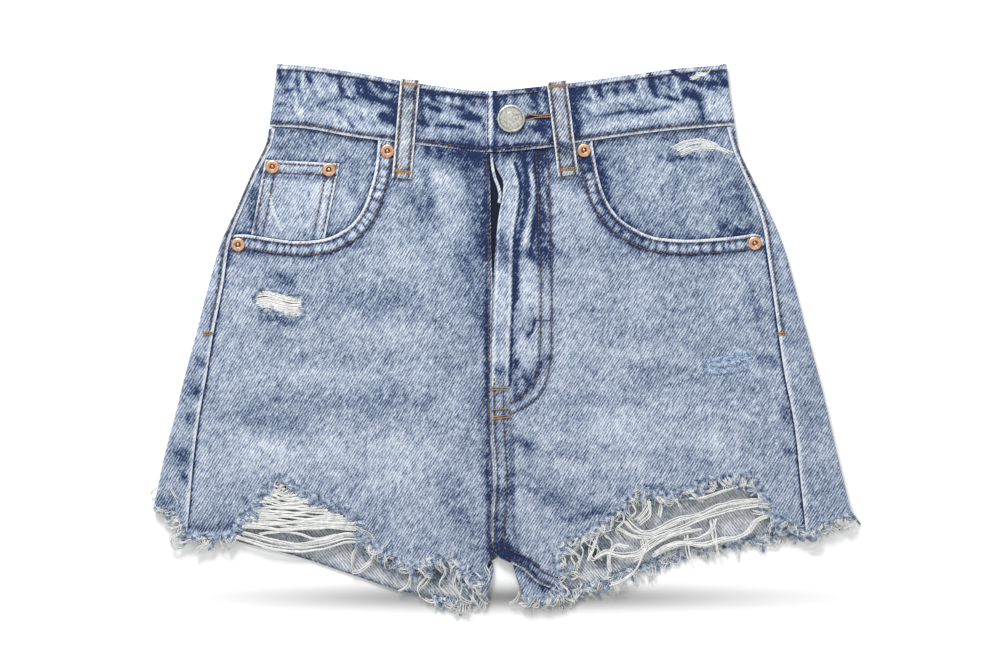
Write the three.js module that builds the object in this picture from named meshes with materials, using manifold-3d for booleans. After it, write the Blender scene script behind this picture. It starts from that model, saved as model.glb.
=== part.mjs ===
// Denim cut-off shorts laid flat with the front up, in millimetres.
// +X runs to the right of someone who looks at the front, +Y from the hem to the waist and +Z up.
// The origin is on the surface that the shorts lie on, below the middle of their outline.
// "right" and "left" in a name are the wearer's, so right pieces lie at -X.
// The back lies on the surface, wraps round the side folds and meets the front at the side seams.
import * as THREE from "three";
import { mergeVertices } from "three/addons/utils/BufferGeometryUtils.js";
import Module from "manifold-3d";

const wasm = await Module();
wasm.setup();

// Driving dimensions
const WALL = 1.4; // denim, one layer
const BAND_WALL = 2.6; // folded waistband with its seam allowance
const PATCH_WALL = 1.2; // coin pocket, back pockets and fly shield
const LOOP_WALL = 1.6; // belt loop, folded in three
const GAP = 0.3; // between two pieces at a seam
const FRONT_TOP = 6.2; // outer face of the front above the surface
const BAND_TOP = 7.1; // outer face of the waistband above the surface
const OVERLAP_TOP = 9.1; // outer face of the buttoned end of the waistband
const UNDERLAP_TOP = 6.2; // outer face of the end that lies below it
const SIDE_BULK = 0.7; // seam allowance under the back at the side seam
const SEAM_BULK = 0.6; // felled seams and the turned pocket edge stand this proud
const FELL_WIDTH = 10; // felled centre seam and inseam
const BAND_PART = 2; // from the band's lower edge to the yoke
const POCKET_EDGE_WIDTH = 11; // turned and twice stitched pocket edge
const POCKET_UNDERLAP = 9; // how far the hip panel runs on below the front
const HEM_STRIP = 1.5; // narrow strip of cloth that a hem's fringe grows from
const FRINGE_WALL = 1.1; // thickness of that strip
const THREAD_WALL = 1.2; // bundles of bare weft threads in the rips
const WELD = 1e-3;

// Side folds and side seams, from waist to hem. Right side at -X, left side at +X.
const RIGHT_SIDE = [
  { y: 146, fold: -163.5, seam: -159 },
  { y: 134, fold: -166, seam: -161.5 },
  { y: 112, fold: -176.5, seam: -172 },
  { y: 91, fold: -185.5, seam: -181 },
  { y: 67, fold: -196.5, seam: -190.5 },
  { y: 35, fold: -206, seam: -195.5 },
  { y: 0, fold: -215, seam: -202.5 },
  { y: -28, fold: -222.5, seam: -207 },
  { y: -56, fold: -229.5, seam: -212 },
  { y: -85, fold: -237, seam: -216 },
  { y: -119, fold: -244, seam: -219 },
  { y: -141, fold: -248, seam: -221 },
];
const LEFT_SIDE = [
  { y: 146, fold: 163, seam: 157 },
  { y: 130, fold: 166, seam: 161.5 },
  { y: 111, fold: 175, seam: 169.5 },
  { y: 98, fold: 181.5, seam: 175.5 },
  { y: 78, fold: 191, seam: 182 },
  { y: 61, fold: 197.5, seam: 184.5 },
  { y: 38, fold: 204, seam: 188 },
  { y: 9, fold: 211.5, seam: 192 },
  { y: -28, fold: 221.5, seam: 197.5 },
  { y: -50, fold: 227, seam: 202 },
  { y: -72, fold: 232, seam: 205.5 },
  { y: -97, fold: 238, seam: 208 },
  { y: -120, fold: 243.5, seam: 210.5 },
  { y: -140, fold: 248, seam: 212.5 },
];
// Inside of each leg below the crotch: the fold and the inseam on the top face
const RIGHT_INNER = [
  { y: -150, fold: -0.2, seam: -0.2 },
  { y: -158, fold: -5.6, seam: -9.4 },
  { y: -167, fold: -6.6, seam: -10.4 },
  { y: -177, fold: -9.5, seam: -13.3 },
  { y: -188, fold: -12, seam: -15.8 },
];
const LEFT_INNER = [
  { y: -150, fold: 0.2, seam: 0.2 },
  { y: -158, fold: 6.2, seam: 6.4 },
  { y: -164, fold: 8, seam: 16 },
  { y: -172, fold: 10.4, seam: 24.5 },
  { y: -181, fold: 13.8, seam: 36.5 },
  { y: -188, fold: 16.5, seam: 44 },
];
const CROTCH_Y = -157;

// Waistband: lower edge and upper edge along x
const WAIST = [
  { x: -166, seam: 146.5, top: 190 },
  { x: -137, seam: 145, top: 188.5 },
  { x: -106, seam: 139.5, top: 184.5 },
  { x: -75, seam: 135.5, top: 179 },
  { x: -44, seam: 132, top: 174.3 },
  { x: -12, seam: 128.5, top: 171 },
  { x: 26, seam: 131, top: 174 },
  { x: 55, seam: 135.5, top: 177.5 },
  { x: 86, seam: 140, top: 181.8 },
  { x: 120, seam: 144, top: 186.5 },
  { x: 165, seam: 147.5, top: 190 },
];
// The band leans in towards its upper edge at the side folds
const BAND_SIDE = [
  { y: 146, right: -163.5, left: 163 },
  { y: 168, right: -160.5, left: 159.5 },
  { y: 190, right: -158, left: 157 },
];
const OVERLAP_END = -11.5; // end of the buttoned side, on top
const UNDERLAP_END = 26; // end of the side that lies below it

// Lower edges. The back hem runs from the side fold to the inside of the leg.
const RIGHT_BACK_HEM = [
  { x: -244, y: -121 },
  { x: -219, y: -132.5 },
  { x: -187, y: -144 },
  { x: -144, y: -155 },
  { x: -105, y: -168 },
  { x: -72, y: -179 },
  { x: -47, y: -183.5 },
  { x: -32, y: -186 },
  { x: -12, y: -184 },
];
const LEFT_BACK_HEM = [
  { x: 16, y: -183 },
  { x: 36, y: -182 },
  { x: 55, y: -177 },
  { x: 76, y: -169 },
  { x: 96, y: -161.5 },
  { x: 126, y: -150 },
  { x: 158, y: -144.5 },
  { x: 180, y: -141.5 },
  { x: 208, y: -136.5 },
  { x: 244.5, y: -124.5 },
];
const RIGHT_FRONT_HEM = [
  { x: -221, y: -141 },
  { x: -203, y: -141 },
  { x: -187, y: -140.5 },
  { x: -170, y: -146 },
  { x: -152, y: -149.5 },
  { x: -133, y: -146.5 },
  { x: -118, y: -143 },
  { x: -99, y: -143.5 },
  { x: -81, y: -151.5 },
  { x: -63.5, y: -161 },
  { x: -46, y: -156 },
  { x: -36, y: -153 },
  { x: -28, y: -165 },
  { x: -20, y: -172.5 },
  { x: -13.5, y: -172.5 },
];
// The left front hem is torn away along a ragged arch.
const LEFT_FRONT_HEM = [
  { x: 37.5, y: -178 },
  { x: 40, y: -167 },
  { x: 39.5, y: -152 },
  { x: 46, y: -143 },
  { x: 56, y: -140 },
  { x: 66, y: -134 },
  { x: 76, y: -125.5 },
  { x: 85, y: -118 },
  { x: 93, y: -108 },
  { x: 105, y: -110.5 },
  { x: 118, y: -112 },
  { x: 131, y: -107 },
  { x: 142.5, y: -102 },
  { x: 160, y: -98.5 },
  { x: 172, y: -98.5 },
  { x: 178, y: -104 },
  { x: 184, y: -115 },
  { x: 191.5, y: -127 },
  { x: 199, y: -131 },
  { x: 206, y: -133 },
  { x: 212.5, y: -139.5 },
];
// Hems of the strips between side fold and side seam
const RIGHT_STRIP_HEM = [[-238.5, -121.2], [-234.8, -121.3], [-226.5, -125.8]];
const LEFT_STRIP_HEM = [[216, -135.6], [228, -130.6], [237.5, -126.7]];
const YOKE_SIDE_Y = 117; // where the yoke seam comes round the side fold
const YOKE_CENTRE_Y = 66; // and at the centre back

// Front openings
const RIGHT_POCKET = [
  { x: -87, y: 136 },
  { x: -89, y: 117 },
  { x: -92.5, y: 103 },
  { x: -97.5, y: 89 },
  { x: -105.5, y: 78 },
  { x: -116, y: 71 },
  { x: -126, y: 67.5 },
  { x: -142, y: 66 },
  { x: -158, y: 67.5 },
  { x: -178, y: 70.5 },
  { x: -192, y: 71 },
];
const LEFT_POCKET = [
  { x: 63, y: 134 },
  { x: 65, y: 122 },
  { x: 67.5, y: 110 },
  { x: 72.5, y: 95.5 },
  { x: 81, y: 83 },
  { x: 93, y: 74.5 },
  { x: 106.5, y: 69 },
  { x: 128, y: 67 },
  { x: 145, y: 67.8 },
  { x: 163, y: 69.3 },
  { x: 184, y: 72.5 },
];
// Edge of the left front at the fly, which gapes at its top, and the centre seam below it
const FLY_EDGE = [
  { x: -7, y: 127 },
  { x: -4, y: 117 },
  { x: 0.3, y: 107.5 },
  { x: -0.3, y: 96 },
  { x: -2.5, y: 84.5 },
  { x: -4.5, y: 69 },
  { x: -5.8, y: 49 },
  { x: -6.8, y: 25 },
  { x: -7.5, y: 0 },
  { x: -7.5, y: -60 },
  { x: -5.2, y: -98 },
  { x: -7, y: -130 },
  { x: -6.5, y: -150 },
  { x: -0.5, y: -156.6 },
];
const RIGHT_FLY_EDGE = [
  { x: -9.6, y: 127 },
  { x: -8.5, y: 100 },
  { x: -7.6, y: 50 },
];

// Soft folds of the front: a ridge, or a trough where rise is below zero, between two points
const FOLDS = [
  { fold: "zip and shield below the fly", x0: 12, y0: 122, x1: 12, y1: -40, half: 27, rise: 0.9 },
  { fold: "pocket bag, right", x0: -150, y0: 75, x1: -104, y1: 88, half: 24, rise: 0.45 },
  { fold: "pocket bag, left", x0: 96, y0: 84, x1: 160, y1: 75, half: 24, rise: 0.4 },
  { fold: "rolled edge of the fly", x0: 7, y0: 112, x1: 1, y1: -44, half: 5.5, rise: 1.2 },
  { fold: "trough beside the fly edge", x0: 13.5, y0: 95, x1: 8.5, y1: -40, half: 3.5, rise: -0.8 },
  { fold: "second roll on the fly", x0: 17, y0: 108, x1: 15, y1: 60, half: 4, rise: 0.7 },
  { fold: "trough left of the fly", x0: -17, y0: 122, x1: -14, y1: -20, half: 7, rise: -0.7 },
  { fold: "right thigh, upper roll", x0: -190, y0: 26, x1: -40, y1: 12, half: 15, rise: 0.45 },
  { fold: "right thigh, trough", x0: -180, y0: -8, x1: -30, y1: -20, half: 14, rise: -0.7 },
  { fold: "right thigh, lower roll", x0: -170, y0: -46, x1: -40, y1: -66, half: 16, rise: 0.7 },
  { fold: "right thigh, drag line", x0: -36, y0: -120, x1: -12, y1: -84, half: 8, rise: -0.7 },
  { fold: "left thigh, upper roll", x0: 44, y0: 10, x1: 180, y1: 22, half: 15, rise: 0.5 },
  { fold: "left thigh, trough", x0: 30, y0: -38, x1: 176, y1: -14, half: 13, rise: -0.7 },
  { fold: "left thigh, lower roll", x0: 24, y0: -76, x1: 176, y1: -56, half: 16, rise: 0.7 },
  { fold: "left thigh, drag line", x0: 14, y0: -100, x1: 34, y1: -128, half: 8, rise: -0.6 },
  { fold: "hem lifts off, left", x0: 60, y0: -120, x1: 180, y1: -92, half: 12, rise: 0.6 },
  { fold: "hem lifts off, right", x0: -205, y0: -128, x1: -100, y1: -118, half: 14, rise: 0.5 },
  { fold: "right side fold stays open", x0: -190, y0: 80, x1: -238, y1: -110, half: 14, rise: 0.7 },
  { fold: "left side fold stays open", x0: 186, y0: 80, x1: 238, y1: -112, half: 15, rise: 0.7 },
];

// Bare weft threads that cross the left rip, as bundles
const THREAD_BUNDLES = [
  { width: 4.2, path: [[126, -110], [140, -112.5], [153, -109.5], [166, -104], [177, -101]] },
  {
    width: 5,
    path: [[76, -123], [95, -138.5], [104, -140], [119, -130.5], [138, -128], [163, -117], [189, -115]],
  },
  {
    width: 4,
    path: [[68, -130], [78, -136], [88, -146], [100, -143], [118, -146], [137, -147], [167, -141], [190, -122]],
  },
  {
    width: 4.6,
    path: [[54, -138], [60, -150], [64, -157], [78, -154.5], [95, -156], [104, -150], [130, -137], [144, -126]],
  },
];
// Slits between the threads of the right rip, the lowest one wide open
const RIGHT_RIP_SLITS = [
  { x: -150, y: -114, half: 13, wide: 1.6, turn: -1 },
  { x: -143, y: -121, half: 24, wide: 1.8, turn: -4 },
  { x: -151, y: -127, half: 22, wide: 1.6, turn: 1 },
  { x: -140, y: -132, half: 26, wide: 1.8, turn: -3 },
  { x: -152, y: -138.5, half: 27, wide: 7.5, turn: 1 },
];
const SMALL_RIP_SLITS = [
  { x: -157, y: 27, half: 8, wide: 1.4, turn: -12 },
  { x: -157, y: 22.5, half: 11, wide: 1.6, turn: -14 },
  { x: -154, y: 18, half: 8, wide: 1.4, turn: -12 },
];

// Trims
const RIVET_R = 4.75;
const RIVETS = [
  { name: "rivet_pocket_right_waist", x: -80.5, y: 129 },
  { name: "rivet_pocket_right_side", x: -185, y: 63.5 },
  { name: "rivet_pocket_left_waist", x: 57, y: 129.5 },
  { name: "rivet_pocket_left_side", x: 176.5, y: 64.5 },
  { name: "rivet_coin_outer", x: -161, y: 118 },
  { name: "rivet_coin_inner", x: -121.5, y: 116 },
];
const BUTTON = { x: 6, y: 151.5, r: 9.75, shankR: 3.2, holeR: 3.6, slotEnd: 33, slotWide: 2.4 };
const SLOT_RISE = 1.2; // the buttonhole runs up a little towards its outer end
const COIN_POCKET = [[-166, 123], [-114, 120.5], [-126, 60], [-178, 60]]; // its corners before it is tucked in
const FRONT_LOOPS = [
  { name: "belt_loop_front_right", x0: -64.5, y0: 179, x1: -70.5, y1: 110, width: 13.6 },
  { name: "belt_loop_front_left", x0: 38, y0: 177.5, x1: 46, y1: 112, width: 14.2 },
];
const BACK_LOOPS = [
  { name: "belt_loop_back_right", x: -98, top: 180, foot: 124 },
  { name: "belt_loop_back_centre", x: 0, top: 169, foot: 113 },
  { name: "belt_loop_back_left", x: 98, top: 181, foot: 126 },
];
const BACK_LOOP_WIDTH = 13;
const BACK_POCKET = { x: 97, top: 60, wide: 124, foot: 112, side: 118, tip: 138, tilt: 6 };
const FLY_SHIELD = { x0: -26, x1: 20, y0: -48, y1: 110 };
const ZIP = { x0: -9, x1: 6, y0: -36, y1: 120, wall: 1 };

// Curves through a table

/** Smooth function of one column of a table, through another column. */
function through(rows, from, to) {
  const sorted = [...rows].sort((a, b) => a[from] - b[from]);
  const xs = sorted.map((row) => row[from]);
  const ys = sorted.map((row) => row[to]);
  const slope = xs.map((_, i) => {
    const a = Math.max(0, i - 1);
    const b = Math.min(xs.length - 1, i + 1);
    return (ys[b] - ys[a]) / (xs[b] - xs[a]);
  });
  return (at) => {
    if (at <= xs[0]) return ys[0] + slope[0] * (at - xs[0]);
    const last = xs.length - 1;
    if (at >= xs[last]) return ys[last] + slope[last] * (at - xs[last]);
    let i = 0;
    while (at > xs[i + 1]) i++;
    const h = xs[i + 1] - xs[i];
    const t = (at - xs[i]) / h;
    const t2 = t * t;
    const t3 = t2 * t;
    return (
      ys[i] * (2 * t3 - 3 * t2 + 1) +
      slope[i] * h * (t3 - 2 * t2 + t) +
      ys[i + 1] * (3 * t2 - 2 * t3) +
      slope[i + 1] * h * (t3 - t2)
    );
  };
}

/** A point from its two coordinates. */
const at = ([x, y]) => new THREE.Vector2(x, y);

/** Evenly spaced points of a smooth line through the rows of a table. */
function line(rows, count) {
  const points = rows.map((row) => new THREE.Vector2(row.x, row.y));
  return new THREE.SplineCurve(points).getSpacedPoints(count);
}

/** The points of a line that lie between two values of y. */
const between = (points, high, low) => points.filter((p) => p.y <= high && p.y >= low);

const mix = (a, b, t) => a + (b - a) * t;
const smooth = (from, to, at) => {
  const t = Math.min(1, Math.max(0, (at - from) / (to - from)));
  return t * t * (3 - 2 * t);
};

/** Distance from a point to a segment. */
function toSegment(x, y, x0, y0, x1, y1) {
  const dx = x1 - x0;
  const dy = y1 - y0;
  const t = Math.min(1, Math.max(0, ((x - x0) * dx + (y - y0) * dy) / (dx * dx + dy * dy)));
  return Math.hypot(x - x0 - t * dx, y - y0 - t * dy);
}

/** Distance from a point to a line of points. */
function toLine(x, y, points) {
  let best = Infinity;
  for (let i = 1; i < points.length; i++) {
    const a = points[i - 1];
    const b = points[i];
    best = Math.min(best, toSegment(x, y, a.x, a.y, b.x, b.y));
  }
  return best;
}

const rightFold = through(RIGHT_SIDE, "y", "fold");
const leftFold = through(LEFT_SIDE, "y", "fold");
const rightSeam = through(RIGHT_SIDE, "y", "seam");
const leftSeam = through(LEFT_SIDE, "y", "seam");
const waistSeam = through(WAIST, "x", "seam");
const waistTop = through(WAIST, "x", "top");
const rightPocketLine = line(RIGHT_POCKET, 24);
const leftPocketLine = line(LEFT_POCKET, 24);
const flyLine = line(FLY_EDGE, 26);
const rightHemLine = line(RIGHT_FRONT_HEM, 34);
const leftHemLine = line(LEFT_FRONT_HEM, 36);

// Heights above the surface

/** Outer face of the front, before seams and turned edges. */
function frontTop(x, y) {
  let z = FRONT_TOP;
  for (const f of FOLDS) {
    const d = toSegment(x, y, f.x0, f.y0, f.x1, f.y1) / f.half;
    z += f.rise * Math.exp(-d * d);
  }
  return z;
}

/** Outer face of the front where a seam or a turned edge thickens it. */
const seamTop = (x, y) => frontTop(x, y) + SEAM_BULK;

/** Outer face of the hip panel: below the front at the pocket edge, level with it at the side seam. */
function hipTop(x, y, pocket) {
  const outside = toLine(x, y, pocket);
  const sideways = Math.min(x - rightSeam(y), leftSeam(y) - x);
  const level = smooth(4, 30, outside) * smooth(26, 6, sideways);
  return frontTop(x, y) - (WALL + GAP + 0.15) * (1 - 0.75 * level);
}

/** Outer face of the coin pocket. */
const coinTop = (x, y) => hipTop(x, y, rightPocketLine) + GAP + 0.1 + PATCH_WALL;

/** Outer face of the waistband over the front, on its buttoned end or on the end below it. */
function bandTop(x, onTop) {
  if (onTop) return mix(OVERLAP_TOP, BAND_TOP, smooth(UNDERLAP_END + 4, UNDERLAP_END + 42, x));
  return mix(BAND_TOP, UNDERLAP_TOP, smooth(-34, -13, x));
}

// Solids

/** A closed solid from a geometry, with its shared vertices merged. */
function solidOf(geometry) {
  const plain = geometry.clone();
  for (const name of ["normal", "uv"]) plain.deleteAttribute(name);
  const merged = mergeVertices(plain, WELD);
  const index = merged.index.array;
  const corners = [];
  for (let i = 0; i < index.length; i += 3) {
    const [a, b, c] = [index[i], index[i + 1], index[i + 2]];
    if (a !== b && b !== c && c !== a) corners.push(a, b, c);
  }
  return new wasm.Manifold(
    new wasm.Mesh({
      numProp: 3,
      vertProperties: merged.attributes.position.array,
      triVerts: new Uint32Array(corners),
    }),
  );
}

/** A closed solid from points and the corners of its faces, turned so that they point out. */
function solidFrom(points, faces) {
  const geometry = new THREE.BufferGeometry().setFromPoints(points);
  const made = solidOf(geometry.setIndex(faces));
  return made.volume() > 0 ? made : solidOf(geometry.setIndex([...faces].reverse()));
}

/** A wall between two grids of points, outer[row][column] and inner[row][column]. */
function wallBetween(outer, inner) {
  const rows = outer.length;
  const cols = outer[0].length;
  const points = [...outer.flat(), ...inner.flat()];
  const id = (side, r, c) => side * rows * cols + r * cols + c;
  const faces = [];
  const quad = (a, b, c, d) => faces.push(a, b, c, a, c, d);
  for (let r = 0; r + 1 < rows; r++) {
    for (let c = 0; c + 1 < cols; c++) {
      quad(id(0, r, c), id(0, r + 1, c), id(0, r + 1, c + 1), id(0, r, c + 1));
      quad(id(1, r, c), id(1, r, c + 1), id(1, r + 1, c + 1), id(1, r + 1, c));
    }
  }
  for (let r = 0; r + 1 < rows; r++) {
    quad(id(0, r, 0), id(1, r, 0), id(1, r + 1, 0), id(0, r + 1, 0));
    quad(id(0, r, cols - 1), id(0, r + 1, cols - 1), id(1, r + 1, cols - 1), id(1, r, cols - 1));
  }
  for (let c = 0; c + 1 < cols; c++) {
    quad(id(0, 0, c), id(0, 0, c + 1), id(1, 0, c + 1), id(1, 0, c));
    quad(id(0, rows - 1, c), id(1, rows - 1, c), id(1, rows - 1, c + 1), id(0, rows - 1, c + 1));
  }
  return solidFrom(points, faces);
}

/** An upright prism over a closed outline. */
function prism(outline, low, high) {
  const shape = new THREE.Shape(outline.map((p) => new THREE.Vector2(p.x ?? p[0], p.y ?? p[1])));
  const geometry = new THREE.ExtrudeGeometry(shape, { depth: high - low, bevelEnabled: false });
  geometry.translate(0, 0, low);
  return solidOf(geometry);
}

/** A wall over a rectangle, its outer face at top(x, y) and its inner face wall lower. */
function slab(xs, ys, top, wall) {
  const outer = ys.map((y) => xs.map((x) => new THREE.Vector3(x, y, top(x, y))));
  const inner = outer.map((row) => row.map((p) => new THREE.Vector3(p.x, p.y, p.z - wall)));
  return wallBetween(outer, inner);
}

/** A flat panel of cloth with an outline, draped at top(x, y). */
function panel(outline, xs, ys, top, wall) {
  return slab(xs, ys, top, wall).intersect(prism(outline, -5, 30));
}

/** The step that keeps one millimetre from a line of points, on the left of its point i. */
function mitre(points, i) {
  const here = points[i];
  const back = new THREE.Vector2().subVectors(here, points[Math.max(0, i - 1)]).normalize();
  const on = new THREE.Vector2().subVectors(points[Math.min(points.length - 1, i + 1)], here).normalize();
  const along = back.clone().add(on).normalize();
  const cut = Math.max(0.6, along.dot(i > 0 ? back : on));
  return new THREE.Vector2(-along.y / cut, along.x / cut);
}

/** A band of cloth along a line, from offset a to offset b on its left side. */
function ribbon(points, a, b, top, wall, low = 0) {
  const outer = points.map((p, i) => {
    const side = mitre(points, i);
    return [a, b].map((offset) => {
      const x = p.x + side.x * offset;
      const y = p.y + side.y * offset;
      return new THREE.Vector3(x, y, top(x, y));
    });
  });
  const inner = outer.map((row) =>
    row.map((p) => new THREE.Vector3(p.x, p.y, Math.max(low, p.z - wall))),
  );
  return wallBetween(outer, inner);
}

/** A lens-shaped slit through a wall. */
function slit({ x, y, half, wide, turn }) {
  const steps = 4;
  const angle = THREE.MathUtils.degToRad(turn);
  const outline = [];
  for (let i = 0; i < 2 * steps; i++) {
    const t = i <= steps ? 1 - (2 * i) / steps : -1 + (2 * (i - steps)) / steps;
    const side = i <= steps ? 1 : -1;
    const u = half * t;
    const v = (side * wide * (1 - t * t)) / 2;
    outline.push([
      x + u * Math.cos(angle) - v * Math.sin(angle),
      y + u * Math.sin(angle) + v * Math.cos(angle),
    ]);
  }
  return prism(outline, -5, 30);
}

const spread = (from, to, count) =>
  Array.from({ length: count + 1 }, (_, i) => mix(from, to, i / count));

const turnedX = (points, dx) => points.map((p) => new THREE.Vector2(p.x + dx, p.y));

// Front panels, with the turned pocket edge, the felled seams and the rips

/** Outline points of the side seam below the pocket, from top to hem. */
function sideSeamLine(seam, high, low, inward) {
  return spread(high, low, 12).map((y) => new THREE.Vector2(seam(y) + inward * (GAP / 2), y));
}

/** Waist seam from x0 to x1, a seam's gap below the band. */
function waistLine(x0, x1, count) {
  return spread(x0, x1, count).map((x) => new THREE.Vector2(x, waistSeam(x) - GAP));
}

function rightFront() {
  const flyEdge = line(RIGHT_FLY_EDGE, 6);
  const centre = turnedX(between(flyLine, 35, -151), -GAP);
  const inner = spread(-157, -172, 3).map(
    (y) => new THREE.Vector2(through(RIGHT_INNER, "y", "seam")(y) - GAP, y),
  );
  const hem = [...rightHemLine].reverse();
  const side = sideSeamLine(rightSeam, 70, -138, 1).reverse();
  const pocket = [...rightPocketLine].reverse().slice(1, -1);
  const low = [...flyEdge.slice(1), ...centre, ...inner, ...hem];
  const outline = [...waistLine(-87, -10, 8), ...low, ...side.slice(1, -1), ...pocket];
  const xs = [...spread(-226, -40, 12), ...spread(-30, 0, 5)];
  const body = panel(outline, xs, spread(-182, 142, 18), frontTop, WALL);
  const edge = ribbon(rightPocketLine.slice(1, -1), 0, POCKET_EDGE_WIDTH, seamTop, WALL);
  const trimmed = edge.intersect(prism(outline, -5, 30));
  const slits = [...RIGHT_RIP_SLITS, ...SMALL_RIP_SLITS].map(slit);
  return body.add(trimmed).subtract(wasm.Manifold.union(slits));
}

function leftFront() {
  const fly = [...flyLine].reverse();
  const inseam = [[0, -156.6], [7, -160], [15.5, -164.3], [24, -172.6], [37, -178]].map(at);
  const side = sideSeamLine(leftSeam, 71, -138, -1).slice(1, -1);
  const hem = [...leftHemLine].reverse();
  const low = [...side, ...hem, ...inseam.slice(1, -1).reverse()];
  const outline = [...fly, ...waistLine(-6.5, 63, 8).slice(1), ...leftPocketLine.slice(1, -1), ...low];
  const xs = [...spread(-10, 26, 7), ...spread(40, 216, 11)];
  const body = panel(outline, xs, spread(-182, 142, 18), frontTop, WALL);
  const edge = ribbon(leftPocketLine.slice(1, -1), -POCKET_EDGE_WIDTH, 0, seamTop, WALL);
  const centreSeam = ribbon(between(flyLine, 0, -150), 0.4, FELL_WIDTH, seamTop, WALL);
  const inseamFell = ribbon(inseam, 0.4, FELL_WIDTH, seamTop, WALL);
  const trimmed = wasm.Manifold.union([edge, centreSeam, inseamFell]).intersect(prism(outline, -5, 30));
  const threads = THREAD_BUNDLES.map(({ width, path }) => {
    const points = new THREE.SplineCurve(path.map(at)).getSpacedPoints(12);
    return ribbon(points, -width / 2, width / 2, (x, y) => frontTop(x, y) - 0.15, THREAD_WALL);
  });
  return wasm.Manifold.union([body, trimmed, ...threads]);
}

// Hip panels in the pocket openings, and the coin pocket

function hipPanel(pocket, seam, waistEnds, inward) {
  const under = pocket.map((p, i) => p.clone().addScaledVector(mitre(pocket, i), inward * POCKET_UNDERLAP));
  const foot = under[under.length - 1].y;
  const side = spread(foot, waistSeam(waistEnds[0]) - 1, 10).map(
    (y) => new THREE.Vector2(seam(y) + inward * (GAP / 2), y),
  );
  const kept = under.filter((p) => p.y < waistSeam(p.x) - 2 && inward * (p.x - seam(p.y)) > 1);
  const outline = [...kept, ...side, ...waistLine(waistEnds[0], waistEnds[1], 6)];
  const across = outline.map((p) => p.x);
  const xs = spread(Math.min(...across) - 1, Math.max(...across) + 1, 8);
  return panel(outline, xs, spread(50, 150, 7), (x, y) => hipTop(x, y, pocket), WALL);
}

function coinPocket() {
  const xs = spread(-182, -110, 5);
  const ys = spread(56, 126, 5);
  const belowFront = ribbon(rightPocketLine, -0.5, 40, () => 30, 60, -5);
  return panel(COIN_POCKET, xs, ys, coinTop, PATCH_WALL).subtract(belowFront);
}

// Back panels and yokes: each lies on the surface and wraps up round its side fold

/** One wrapped sheet. top and foot give y at the seam, at the fold and along the underside. */
function wrappedBack({ fold, seam, inward, top, foot, centre, rows, columns, inner, stripDrop = 1 }) {
  const outer = [];
  const inside = [];
  const radiusAt = (y) => frontTop(fold(y) + inward * 3.2, y) / 2;
  const middleAt = (y) => fold(y) + inward * radiusAt(y);
  const innerAt = (y) => {
    if (!inner) return { lastX: centre, innerRadius: 0, length: 0 };
    const innerFold = inner.fold(y);
    const innerRadius = frontTop(innerFold - inward * 6, y) / 2;
    if (y >= CROTCH_Y) {
      const lastX = mix(centre, innerFold, smooth(-151, CROTCH_Y, y));
      return { lastX, innerRadius, length: 0 };
    }
    const lastX = innerFold - inward * innerRadius;
    const strip = Math.max(0, -inward * (lastX - inner.seam(y)) - GAP);
    const length = (Math.PI * innerRadius + strip) * smooth(CROTCH_Y, CROTCH_Y - 7, y);
    return { lastX, innerRadius, length };
  };
  const from = middleAt(foot.fold);
  const to = innerAt(foot.centre).lastX;
  const shares = columns.map((x) => (x - from) / (to - from)).filter((b) => b > 0.03 && b < 0.98);
  for (const v of rows) {
    const ySeam = mix(top.seam, foot.seam, v);
    const yFold = mix(top.fold, foot.fold, v);
    const yCentre = mix(top.centre, foot.centre, v);
    const radius = radiusAt(yFold);
    const middle = middleAt(yFold);
    const outerRow = [];
    const innerRow = [];
    const add = (x, y, z, nx, nz, wall) => {
      outerRow.push(new THREE.Vector3(x, y, z));
      innerRow.push(new THREE.Vector3(x - nx * wall, y, z - nz * wall));
    };
    for (const a of [0, 0.2, 0.7]) {
      const x = mix(seam(ySeam) - inward * (GAP / 2), middle, a);
      const y = mix(ySeam, yFold, 1 - (1 - a) ** stripDrop);
      const bulk = SIDE_BULK * smooth(9, 3, Math.abs(x - seam(y))) * smooth(3, 7, Math.abs(x - middle));
      add(x, y, mix(frontTop(x, y), 2 * radius, a * a) + bulk, 0, 1, WALL);
    }
    for (let k = 0; k <= 5; k++) {
      const turn = Math.PI / 2 - (Math.PI * k) / 5;
      const nx = -inward * Math.cos(turn);
      const nz = Math.sin(turn);
      add(middle + nx * radius, yFold, radius + nz * radius, nx, nz, WALL);
    }
    const { lastX, innerRadius, length } = innerAt(yCentre);
    for (const b of shares) {
      const x = mix(middle, lastX, b);
      add(x, mix(top.under(x), foot.under(x), v), 0, 0, -1, WALL);
    }
    add(lastX, yCentre, 0, 0, -1, WALL);
    for (let k = 1; inner && k <= 5; k++) {
      const s = (length * k) / 5;
      const turn = Math.min(Math.PI, s / innerRadius);
      const over = Math.max(0, s - Math.PI * innerRadius);
      const nx = inward * Math.sin(turn);
      const nz = -Math.cos(turn);
      add(lastX + nx * innerRadius - inward * over, yCentre, innerRadius + nz * innerRadius, nx, nz, WALL);
    }
    outer.push(outerRow);
    inside.push(innerRow);
  }
  return wallBetween(outer, inside);
}

const yokeLine = (x) => mix(YOKE_CENTRE_Y, YOKE_SIDE_Y, Math.min(1, Math.abs(x) / 172) ** 1.15);

function yoke(fold, seam, inward) {
  const sideTop = waistSeam(fold(YOKE_SIDE_Y)) - BAND_PART;
  const sideFoot = YOKE_SIDE_Y + GAP;
  const backTop = (x) => waistSeam(x) - BAND_PART;
  const backFoot = (x) => yokeLine(x) + GAP;
  return wrappedBack({
    fold,
    seam,
    inward,
    rows: spread(0, 1, 4),
    columns: spread(inward * -150, inward * -30, 4),
    centre: inward * -(GAP / 2),
    top: { seam: sideTop, fold: sideTop, centre: backTop(0), under: backTop },
    foot: { seam: sideFoot, fold: sideFoot, centre: backFoot(0), under: backFoot },
  });
}

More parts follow.
